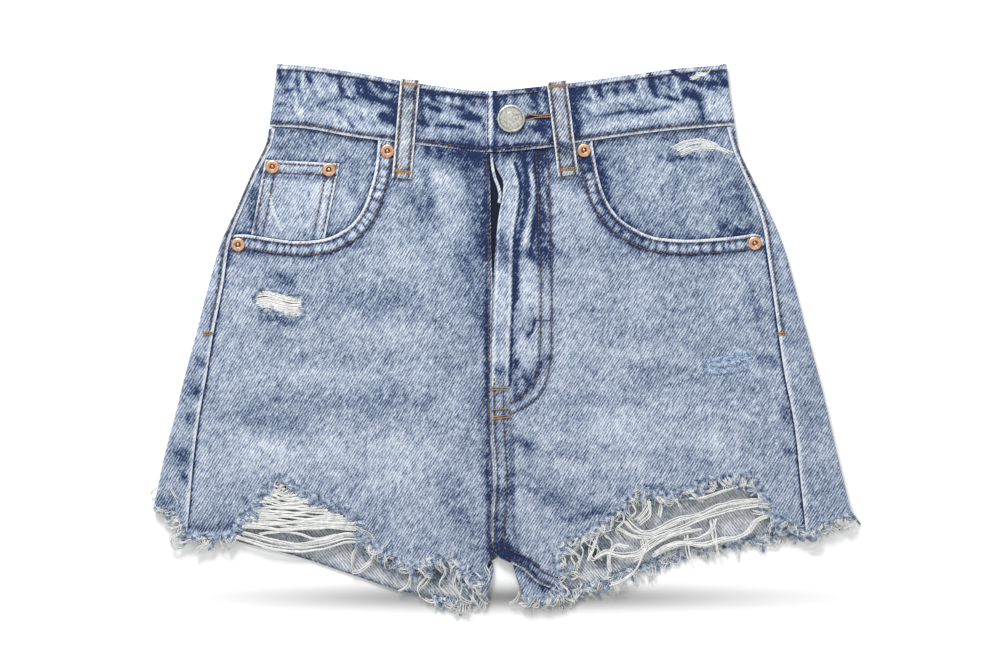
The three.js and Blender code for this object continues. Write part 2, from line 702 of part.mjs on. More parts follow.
function backPanel(fold, seam, inward, hemRows, innerRows, stripFoot, stripDrop) {
  const hem = through(hemRows, "x", "y");
  const innerFold = through(innerRows, "y", "fold");
  const ends = hemRows.map((row) => row.x).sort((a, b) => (a - b) * inward);
  const last = hem(ends[ends.length - 1]);
  const levels = [...spread(YOKE_CENTRE_Y, -136, 13), -146, -152, -157, -161, -166, -173, -180, last];
  return wrappedBack({
    fold,
    seam,
    inward,
    rows: levels.filter((y) => y >= last).map((y) => (YOKE_CENTRE_Y - y) / (YOKE_CENTRE_Y - last)),
    columns: ends,
    centre: inward * -(GAP / 2),
    top: { seam: YOKE_SIDE_Y, fold: YOKE_SIDE_Y, centre: YOKE_CENTRE_Y, under: yokeLine },
    foot: { seam: stripFoot, fold: hem(ends[0]), centre: last, under: hem },
    inner: { fold: innerFold, seam: through(innerRows, "y", "seam") },
    stripDrop,
  });
}

/** Sets a patch on the underside: a recess for it, with the wall pushed up over it within a ground. */
function seatPatch(solid, grown, raised, ground) {
  const deep = PATCH_WALL + GAP;
  const plateau = prism(raised, deep - 0.5, deep + WALL);
  const kept = ground ? plateau.intersect(ground) : plateau;
  return solid.add(kept).subtract(prism(grown, -1, deep));
}

/** Outline of a back pocket, made wider all round by grow. */
function backPocketOutline(side, grow) {
  const { x, top, wide, foot, tip, tilt } = BACK_POCKET;
  const half = wide / 2 + grow;
  const low = half * (foot / wide);
  const corners = [
    [-half, top + grow],
    [half, top + grow],
    [low, top - BACK_POCKET.side - grow],
    [0, top - tip - grow],
    [-low, top - BACK_POCKET.side - grow],
  ];
  const angle = THREE.MathUtils.degToRad(tilt * side);
  return corners.map(([u, v]) => [
    side * x + u * Math.cos(angle) - (v - top) * Math.sin(angle),
    top + u * Math.sin(angle) + (v - top) * Math.cos(angle),
  ]);
}

const loopOutline = ({ x, top, foot }, grow) => {
  const half = BACK_LOOP_WIDTH / 2 + grow;
  return [[x - half, foot - grow], [x + half, foot - grow], [x + half, top + grow], [x - half, top + grow]];
};

// Waistband: one strip round the waist, its buttoned end on top of the other

function waistband() {
  const right = through(BAND_SIDE, "y", "right");
  const left = through(BAND_SIDE, "y", "left");
  const rows = 3;
  const outer = [];
  const inside = [];
  const radius = BAND_TOP / 2;
  for (let r = 0; r <= rows; r++) {
    const v = r / rows;
    const yRight = mix(146.5, 190, v);
    const yLeft = mix(147, 190, v);
    const rightMiddle = right(yRight) + radius;
    const leftMiddle = left(yLeft) - radius;
    const outerRow = [];
    const innerRow = [];
    const add = (x, y, z, nx, nz) => {
      outerRow.push(new THREE.Vector3(x, y, z));
      innerRow.push(new THREE.Vector3(x - nx * BAND_WALL, y, z - nz * BAND_WALL));
    };
    const across = (x, lower) => mix(waistSeam(x), waistTop(x), v) - lower;
    for (const x of [...spread(UNDERLAP_END, -36, 7), ...spread(-52, rightMiddle + 12, 6)])
      add(x, across(x, 0), bandTop(x, false), 0, 1);
    for (let k = 0; k <= 5; k++) {
      const turn = Math.PI / 2 - (Math.PI * k) / 5;
      const nx = -Math.cos(turn);
      add(rightMiddle + nx * radius, yRight, radius + radius * Math.sin(turn), nx, Math.sin(turn));
    }
    for (const x of spread(rightMiddle + 14, leftMiddle - 14, 9)) add(x, across(x, 1), 0, 0, -1);
    for (let k = 0; k <= 5; k++) {
      const turn = -Math.PI / 2 + (Math.PI * k) / 5;
      const nx = Math.cos(turn);
      add(leftMiddle + nx * radius, yLeft, radius + radius * Math.sin(turn), nx, Math.sin(turn));
    }
    for (const x of [...spread(leftMiddle - 12, 76, 5), ...spread(64, 30, 4), ...spread(20, OVERLAP_END, 3)])
      add(x, across(x, 0), bandTop(x, true), 0, 1);
    outer.push(outerRow);
    inside.push(innerRow);
  }
  const ring = wallBetween(outer, inside);
  const { x, y, holeR, slotEnd, slotWide } = BUTTON;
  const low = OVERLAP_TOP - BAND_WALL - 0.15;
  const eye = spread(0, 11, 11).map((k) => {
    const turn = (k * Math.PI) / 6;
    return [x + holeR * Math.cos(turn), y + holeR * Math.sin(turn)];
  });
  const half = slotWide / 2;
  const endY = y + SLOT_RISE;
  const slot = [[x, y - half], [slotEnd, endY - half], [slotEnd, endY + half], [x, y + half]];
  return ring.subtract(prism(eye, low, 20)).subtract(prism(slot, low, 20));
}

// Small cloth pieces

/** A front belt loop, which lies on the band and steps down to the front. */
function frontLoop({ x0, y0, x1, y1, width }) {
  const bandEdge = waistSeam((x0 + x1) / 2);
  const points = spread(0, 1, 9).map((t) => new THREE.Vector2(mix(x0, x1, t), mix(y0, y1, t)));
  const over = (x, y) => {
    const onBand = bandTop(x, x > 0);
    return mix(seamTop(x, y), onBand, smooth(bandEdge - 9, bandEdge - 1, y)) + GAP + LOOP_WALL;
  };
  return ribbon(points, -width / 2, width / 2, over, LOOP_WALL);
}

function flyShield() {
  const { x0, x1, y0, y1 } = FLY_SHIELD;
  const outline = [[x0, y1], [x1, y1], [x1, y0 + 18], [x1 - 10, y0], [x0 + 10, y0], [x0, y0 + 18]];
  const top = (x, y) => Math.min(4.3, frontTop(x, y) - WALL - 2 * GAP - ZIP.wall);
  return panel(outline, spread(x0 - 1, x1 + 1, 4), spread(y0 - 1, y1 + 1, 6), top, PATCH_WALL);
}

function zip() {
  const { x0, x1, y0, y1, wall } = ZIP;
  const top = (x, y) => Math.min(frontTop(x, y) - WALL - GAP, 5.9);
  const outline = [[x0, y0], [x1, y0], [x1, y1], [x0, y1]];
  return panel(outline, spread(x0 - 1, x1 + 1, 4), spread(y0 - 1, y1 + 1, 8), top, wall);
}

// Metal trims

function rivet() {
  const profile = [[0, 0], [RIVET_R, 0], [RIVET_R, 0.6], [4.1, 1.2], [1.7, 1.2], [1.4, 0.8], [0, 1.1]];
  return new THREE.LatheGeometry(profile.map(at), 12).rotateX(Math.PI / 2);
}

function button() {
  const { r, shankR } = BUTTON;
  const shank = [[0, 0], [shankR, 0], [shankR, 3.1]];
  const cap = [[r - 0.8, 3.2], [r, 3.9], [r - 0.4, 4.8], [r - 1.8, 5.1], [0, 4.8]];
  return new THREE.LatheGeometry([...shank, ...cap].map(at), 20).rotateX(Math.PI / 2);
}

// Frayed hems

/** Repeatable numbers from 0 to 1. */
function dice(seed) {
  let state = seed;
  return () => {
    state = (state * 1664525 + 1013904223) % 4294967296;
    return state / 4294967296;
  };
}

/** One three-sided lock of threads that grows from a hem, curls and thins out. */
function lock(root, dir, length, thick, curl, lift) {
  const steps = 2;
  const side = new THREE.Vector3(-dir.y, dir.x, 0);
  const points = [];
  for (let i = 0; i <= steps; i++) {
    const t = i / steps;
    const centre = root
      .clone()
      .addScaledVector(dir, length * t)
      .addScaledVector(side, curl * length * t * t);
    centre.z += lift * Math.sin(Math.PI * t);
    const size = thick * (1 - 0.6 * t);
    for (let k = 0; k < 3; k++) {
      const turn = Math.PI / 2 + (2 * Math.PI * k) / 3;
      const corner = centre.clone().addScaledVector(side, Math.cos(turn) * size);
      corner.z += Math.sin(turn) * size;
      points.push(corner);
    }
  }
  const faces = [0, 1, 2, 3 * steps, 3 * steps + 2, 3 * steps + 1];
  for (let i = 0; i < steps; i++) {
    for (let k = 0; k < 3; k++) {
      const a = 3 * i + k;
      const b = 3 * i + ((k + 1) % 3);
      faces.push(a, a + 3, b, b, a + 3, b + 3);
    }
  }
  return solidFrom(points, faces);
}

/** A hem's strip with its locks, on the right of the hem's direction. */
function fringe({ hem, top, locks, length, thick, seed }) {
  const strip = ribbon(hem, -GAP - HEM_STRIP, -GAP, top, FRINGE_WALL, GAP);
  const random = dice(seed);
  const up = new THREE.Vector3(0, 0, 1);
  const grown = [];
  for (let i = 0; i < locks; i++) {
    const place = Math.min(hem.length - 1.01, ((i + 0.15 + 0.7 * random()) / locks) * (hem.length - 1));
    const k = Math.floor(place);
    const along = new THREE.Vector2().subVectors(hem[k + 1], hem[k]).normalize();
    const spot = hem[k].clone().lerp(hem[k + 1], place - k);
    const outward = new THREE.Vector3(along.y, -along.x, 0);
    const root = new THREE.Vector3(spot.x, spot.y, 0).addScaledVector(outward, GAP + HEM_STRIP * 0.6);
    const dir = outward.clone().applyAxisAngle(up, (random() - 0.5) * 1.1);
    const size = thick * (0.75 + 0.5 * random());
    root.z = Math.max(GAP + size, top(root.x, root.y) - FRINGE_WALL / 2);
    const reach = length * (0.45 + 1.1 * random() ** 2);
    const lift = Math.min(0.8, root.z - GAP - size) * (random() - 0.3);
    grown.push(lock(root, dir, reach, size, (random() - 0.5) * 0.9, lift));
  }
  return wasm.Manifold.union([strip, ...grown]);
}

// Assembly

const shorts = new THREE.Group();
const cloth = (color) => new THREE.MeshStandardMaterial({ color, roughness: 0.92, metalness: 0 });
const metal = (color) => new THREE.MeshStandardMaterial({ color, roughness: 0.4, metalness: 1 });
const MATERIALS = {
  denim: cloth("#8ea5c8"),
  denimBack: cloth("#8499bd"),
  band: cloth("#8a9fc4"),
  patch: cloth("#9caecb"),
  threads: cloth("#d9dbd6"),
  tape: cloth("#28324a"),
  copper: metal("#c98a63"),
  nickel: metal("#a9aaa6"),
};

/** Adds a named piece made as a solid. */
function piece(name, solid, material) {
  const made = solid.getMesh();
  const geometry = new THREE.BufferGeometry();
  geometry.setAttribute("position", new THREE.BufferAttribute(made.vertProperties, 3));
  geometry.setIndex(new THREE.BufferAttribute(made.triVerts, 1));
  const mesh = new THREE.Mesh(geometry, material);
  mesh.name = name;
  shorts.add(mesh);
}

/** Adds a named trim, seated at a height. */
function trim(name, geometry, material, x, y, z) {
  const mesh = new THREE.Mesh(geometry, material);
  mesh.name = name;
  mesh.position.set(x, y, z);
  shorts.add(mesh);
}

piece("front_right", rightFront(), MATERIALS.denim);
piece("front_left", leftFront(), MATERIALS.denim);
piece("hip_panel_right", hipPanel(rightPocketLine, rightSeam, [-159, -88], 1), MATERIALS.denim);
piece("hip_panel_left", hipPanel(leftPocketLine, leftSeam, [157, 64], -1), MATERIALS.denim);
piece("coin_pocket", coinPocket(), MATERIALS.patch);

const backRight = backPanel(rightFold, rightSeam, 1, RIGHT_BACK_HEM, RIGHT_INNER, -138, 5);
const backLeft = backPanel(leftFold, leftSeam, -1, LEFT_BACK_HEM, LEFT_INNER, -137, 1);
for (const [name, panelSolid, side] of [["right", backRight, -1], ["left", backLeft, 1]]) {
  const seated = seatPatch(panelSolid, backPocketOutline(side, GAP), backPocketOutline(side, GAP + WALL));
  piece(`back_${name}`, seated, MATERIALS.denimBack);
  piece(`back_pocket_${name}`, prism(backPocketOutline(side, 0), 0, PATCH_WALL), MATERIALS.denimBack);
}

/** The side of the centre back seam that a yoke lies on, below the waistband. */
function yokeGround(side) {
  const edge = spread(GAP / 2, 150, 15).map((x) => [side * x, waistSeam(side * x) - BAND_PART]);
  return prism([[(side * GAP) / 2, -100], ...edge, [side * 150, -100]], -5, 30);
}

let yokeRight = yoke(rightFold, rightSeam, 1);
let yokeLeft = yoke(leftFold, leftSeam, -1);
let band = waistband();
for (const loop of BACK_LOOPS) {
  const grown = loopOutline(loop, GAP);
  const raised = loopOutline(loop, GAP + WALL);
  if (loop.x <= 0) yokeRight = seatPatch(yokeRight, grown, raised, yokeGround(-1));
  if (loop.x >= 0) yokeLeft = seatPatch(yokeLeft, grown, raised, yokeGround(1));
  band = band.subtract(prism(grown, -1, PATCH_WALL + GAP));
  piece(loop.name, prism(loopOutline(loop, 0), 0, PATCH_WALL), MATERIALS.band);
}
piece("yoke_right", yokeRight, MATERIALS.denimBack);
piece("yoke_left", yokeLeft, MATERIALS.denimBack);
piece("waistband", band, MATERIALS.band);
for (const loop of FRONT_LOOPS) piece(loop.name, frontLoop(loop), MATERIALS.band);
piece("fly_shield", flyShield(), MATERIALS.denimBack);
piece("zip", zip(), MATERIALS.tape);

for (const { name, x, y } of RIVETS) {
  const onCoin = name.startsWith("rivet_coin");
  const seat = onCoin ? coinTop(x, y) : seamTop(x, y);
  trim(name, rivet(), MATERIALS.copper, x, y, seat + GAP);
}
trim("button", button(), MATERIALS.nickel, BUTTON.x, BUTTON.y, UNDERLAP_TOP + GAP);

const onFront = (x, y) => frontTop(x, y) - 0.1;
const onSurface = () => GAP + FRINGE_WALL;
const backHem = (rows, from, to) =>
  rows.filter((row) => row.x >= from && row.x <= to).map((row) => at([row.x, row.y]));
const UPPER = { top: onFront, thick: 0.75 };
const LOWER = { top: onSurface, thick: 0.42 };
const beyond = (points, low, high) => points.filter((p) => p.x > low && p.x < high);
const FRINGES = [
  { name: "front_right_outer", hem: beyond(rightHemLine, -300, -188), locks: 10, length: 5, seed: 3, ...UPPER },
  { name: "front_right_inner", hem: beyond(rightHemLine, -98, 0), locks: 24, length: 9, seed: 11, ...UPPER },
  { name: "front_left_inner", hem: beyond(leftHemLine, 0, 50), locks: 15, length: 9, seed: 19, ...UPPER },
  { name: "front_left_outer", hem: beyond(leftHemLine, 192, 300), locks: 10, length: 6, seed: 31, ...UPPER },
  { name: "back_right", hem: backHem(RIGHT_BACK_HEM, -50, -12), locks: 14, length: 4, seed: 43, ...LOWER },
  { name: "back_left", hem: backHem(LEFT_BACK_HEM, 16, 210), locks: 42, length: 6, seed: 59, ...LOWER },
  { name: "side_right", hem: RIGHT_STRIP_HEM.map(at), locks: 5, length: 4, seed: 67, ...UPPER },
  { name: "side_left", hem: LEFT_STRIP_HEM.map(at), locks: 9, length: 7, seed: 71, ...UPPER },
];
for (const spec of FRINGES) piece(`fringe_${spec.name}`, fringe(spec), MATERIALS.threads);

export default shorts;
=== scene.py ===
"""Denim cut-off shorts laid flat on a pale floor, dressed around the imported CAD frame.

Sizes are in millimetres and become metres where a mesh is made; the threads' own sizes are
in metres. Right and left are the wearer's, so right pieces lie at -X. Places read off the
1008 x 672 view are in its pixels, at 0.70 mm each.
"""

from __future__ import annotations

import logging
import math
import sys
from collections.abc import Callable, Iterable, Sequence
from dataclasses import dataclass, field
from enum import Enum

import bpy
import numpy as np
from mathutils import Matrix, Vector
from mathutils.geometry import delaunay_2d_cdt

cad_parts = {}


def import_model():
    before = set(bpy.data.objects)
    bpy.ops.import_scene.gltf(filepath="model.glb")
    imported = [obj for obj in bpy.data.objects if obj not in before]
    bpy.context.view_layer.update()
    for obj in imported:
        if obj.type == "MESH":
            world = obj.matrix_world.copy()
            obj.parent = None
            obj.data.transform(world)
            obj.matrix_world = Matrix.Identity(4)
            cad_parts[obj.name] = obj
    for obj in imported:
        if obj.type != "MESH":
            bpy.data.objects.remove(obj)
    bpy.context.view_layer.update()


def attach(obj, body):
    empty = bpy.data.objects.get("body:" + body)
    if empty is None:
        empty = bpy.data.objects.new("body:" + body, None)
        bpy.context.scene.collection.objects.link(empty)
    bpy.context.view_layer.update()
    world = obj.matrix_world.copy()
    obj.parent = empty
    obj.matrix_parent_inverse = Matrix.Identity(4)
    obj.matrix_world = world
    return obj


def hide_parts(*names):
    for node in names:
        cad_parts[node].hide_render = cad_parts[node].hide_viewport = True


LOG = logging.getLogger("shorts")
MM = 0.001
FLOOR_GAP = 0.2 * MM
STRAND_SIZES = ("Count", "Spread", "Rise", "Wave", "Radius")
VIEW_SCALE = 0.70
VIEW_CENTRE = (502.5, 335.5)

Array = np.ndarray
Pair = tuple[Array, Array]
Line = Array
Height = Callable[[Array, Array], Array]
Paint = Callable[[Array, Array], Pair]
Row = dict[str, float]
Table = Sequence[Sequence[float]]
Piece = bpy.types.Object
Material = bpy.types.Material
Socket = bpy.types.NodeSocket

# Driving dimensions, as the solids have them
WALL = 1.4
BAND_WALL = 2.6
PATCH_WALL = 1.2
LOOP_WALL = 1.6
GAP = 0.3
FRONT_TOP = 6.2
BAND_TOP = 7.1
OVERLAP_TOP = 9.1
UNDERLAP_TOP = 6.2
SIDE_BULK = 0.7
SEAM_BULK = 0.6
FELL_WIDTH = 10.0
BAND_PART = 2.0
POCKET_EDGE_WIDTH = 11.0
POCKET_UNDERLAP = 9.0
CROTCH_Y = -157.0
OVERLAP_END = -11.5
UNDERLAP_END = 26.0
YOKE_SIDE_Y = 117.0
YOKE_CENTRE_Y = 66.0
BACK_LOOP_WIDTH = 13.0
RIVET_R = 4.75
ZIP_WALL = 1.0

# Sewing: how far rows lie from their edges, and how far a stitch stands up
POCKET_ROWS = (2.4, 10.0)
FELL_ROWS = (1.8, 8.4)
INSEAM_ROWS = (2.2, 8.4)
BAND_ROWS = (2.4, 3.3)
STITCH_RISE = 0.12
BUTTONHOLE = (14.0, 33.0, 152.4)
BUTTON_AT = (6.0, 151.5)

# How far apart points are: along cut edges, torn edges and seams, and round a side fold
EDGE_STEP = 1.45
TORN_STEP = 1.2
SEAM_STEP = 1.5
TURN_POINTS = 13

SIDES = ((-1, "right"), (1, "left"))


def rows(names: str, table: Table) -> list[Row]:
    """Rows of a table with its columns named."""
    return [dict(zip(names.split(), row)) for row in table]


RIGHT_SIDE = rows("y fold seam", (
    (146, -163.5, -159), (134, -166, -161.5), (112, -176.5, -172), (91, -185.5, -181),
    (67, -196.5, -190.5), (35, -206, -195.5), (0, -215, -202.5), (-28, -222.5, -207),
    (-56, -229.5, -212), (-85, -237, -216), (-119, -244, -219), (-141, -248, -221),
))
LEFT_SIDE = rows("y fold seam", (
    (146, 163, 157), (130, 166, 161.5), (111, 175, 169.5), (98, 181.5, 175.5), (78, 191, 182),
    (61, 197.5, 184.5), (38, 204, 188), (9, 211.5, 192), (-28, 221.5, 197.5), (-50, 227, 202),
    (-72, 232, 205.5), (-97, 238, 208), (-120, 243.5, 210.5), (-140, 248, 212.5),
))
RIGHT_INNER = rows("y fold seam", (
    (-150, -0.2, -0.2), (-158, -5.6, -9.4), (-167, -6.6, -10.4), (-177, -9.5, -13.3),
    (-188, -12, -15.8),
))
LEFT_INNER = rows("y fold seam", (
    (-150, 0.2, 0.2), (-158, 6.2, 6.4), (-164, 8, 16), (-172, 10.4, 24.5), (-181, 13.8, 36.5),
    (-188, 16.5, 44),
))
WAIST = rows("x seam top", (
    (-166, 146.5, 190), (-137, 145, 188.5), (-106, 139.5, 184.5), (-75, 135.5, 179),
    (-44, 132, 174.3), (-12, 128.5, 171), (26, 131, 174), (55, 135.5, 177.5), (86, 140, 181.8),
    (120, 144, 186.5), (165, 147.5, 190),
))
BAND_SIDE = rows("y right left", ((146, -163.5, 163), (168, -160.5, 159.5), (190, -158, 157)))
RIGHT_BACK_HEM = rows("x y", (
    (-244, -121), (-219, -132.5), (-187, -144), (-144, -155), (-105, -168), (-72, -179),
    (-47, -183.5), (-32, -186), (-12, -184),
))
LEFT_BACK_HEM = rows("x y", (
    (16, -183), (36, -182), (55, -177), (76, -169), (96, -161.5), (126, -150), (158, -144.5),
    (180, -141.5), (208, -136.5), (244.5, -124.5),
))
RIGHT_OUTER_HEM = ((-221, -141), (-203, -141), (-187, -140.5))
RIGHT_INNER_HEM = (
    (-99, -143.5), (-81, -151.5), (-63.5, -161), (-46, -156), (-36, -153), (-28, -165),
    (-20, -172.5), (-13.5, -172.5),
)
# The thread fan tears the right front open above its lowest bundle
RIGHT_RIP = (
    (-186, -139.5), (-181, -132.5), (-175.5, -126), (-168, -117), (-161, -107.5), (-157.5, -102),
    (-154, -103.5), (-148, -108.5), (-139, -113.5), (-129.5, -118), (-117.5, -122.5),
    (-105.5, -129), (-102, -136), (-99, -143.5),
)
SMALL_RIP = (
    (-171, 30), (-162, 31), (-151, 28), (-142.5, 26), (-141.5, 18), (-143, 14.5), (-156, 16.5),
    (-168, 20.5), (-171.5, 25),
)
LEFT_FRONT_HEM = (
    (37.5, -178), (40, -167), (39.5, -152), (46, -143), (56, -140), (66, -134), (76, -125.5),
    (85, -118), (93, -108), (105, -110.5), (118, -112), (131, -107), (142.5, -102), (160, -98.5),
    (172, -98.5), (178, -104), (184, -115), (191.5, -127), (199, -131), (206, -133),
    (212.5, -139.5),
)
RIGHT_POCKET = (
    (-87, 136), (-89, 117), (-92.5, 103), (-97.5, 89), (-105.5, 78), (-116, 71), (-126, 67.5),
    (-142, 66), (-158, 67.5), (-178, 70.5), (-192, 71),
)
LEFT_POCKET = (
    (63, 134), (65, 122), (67.5, 110), (72.5, 95.5), (81, 83), (93, 74.5), (106.5, 69), (128, 67),
    (145, 67.8), (163, 69.3), (184, 72.5),
)
FLY_EDGE = (
    (-7, 127), (-4, 117), (0.3, 107.5), (-0.3, 96), (-2.5, 84.5), (-4.5, 69), (-5.8, 49),
    (-6.8, 25), (-7.5, 0), (-7.5, -60), (-5.2, -98), (-7, -130), (-6.5, -150), (-0.5, -156.6),
)
RIGHT_FLY_EDGE = ((-9.6, 127), (-8.5, 100), (-7.6, 50))
INSEAM = ((0, -156.6), (7, -160), (15.5, -164.3), (24, -172.6), (37, -178))
COIN_POCKET = ((-166, 123), (-114, 120.5), (-126, 60), (-178, 60))
FRONT_LOOPS = (
    ("belt_loop_front_right", (-64.5, 179), (-70.5, 110), 13.6),
    ("belt_loop_front_left", (38, 177.5), (46, 112), 14.2),
)
BACK_LOOPS = (
    ("belt_loop_back_right", -98, 180, 124),
    ("belt_loop_back_centre", 0, 169, 113),
    ("belt_loop_back_left", 98, 181, 126),
)
RIVETS = (
    ("rivet_pocket_right_waist", -80.5, 129), ("rivet_pocket_right_side", -185, 63.5),
    ("rivet_pocket_left_waist", 57, 129.5), ("rivet_pocket_left_side", 176.5, 64.5),
    ("rivet_coin_outer", -161, 118), ("rivet_coin_inner", -121.5, 116),
)
J_STITCH_INNER = (
    (23.5, 130), (25, 96), (26, 56.5), (27, 32), (26, -14.5), (23, -31), (15.5, -41), (6, -47),
)
J_STITCH_OUTER = (
    (31, 130), (33, 96), (34, 69.5), (34.5, 25), (34, -11), (31.5, -29), (27.5, -39.5),
    (18.5, -48.5), (6, -55),
)
J_STITCHES = (J_STITCH_INNER, J_STITCH_OUTER)
# Soft folds of the front: two ends, half width and rise
FOLDS = (
    (12, 122, 12, -40, 27, 0.9), (-150, 75, -104, 88, 24, 0.45), (96, 84, 160, 75, 24, 0.4),
    (7, 112, 1, -44, 5.5, 1.2), (13.5, 95, 8.5, -40, 3.5, -0.8), (17, 108, 15, 60, 4, 0.7),
    (-17, 122, -14, -20, 7, -0.7), (-190, 26, -40, 12, 15, 0.45), (-180, -8, -30, -20, 14, -0.7),
    (-170, -46, -40, -66, 16, 0.7), (-36, -120, -12, -84, 8, -0.7), (44, 10, 180, 22, 15, 0.5),
    (30, -38, 176, -14, 13, -0.7), (24, -76, 176, -56, 16, 0.7), (14, -100, 34, -128, 8, -0.6),
    (60, -120, 180, -92, 12, 0.6), (-205, -128, -100, -118, 14, 0.5),
    (-190, 80, -238, -110, 14, 0.7), (186, 80, 238, -112, 15, 0.7),
)
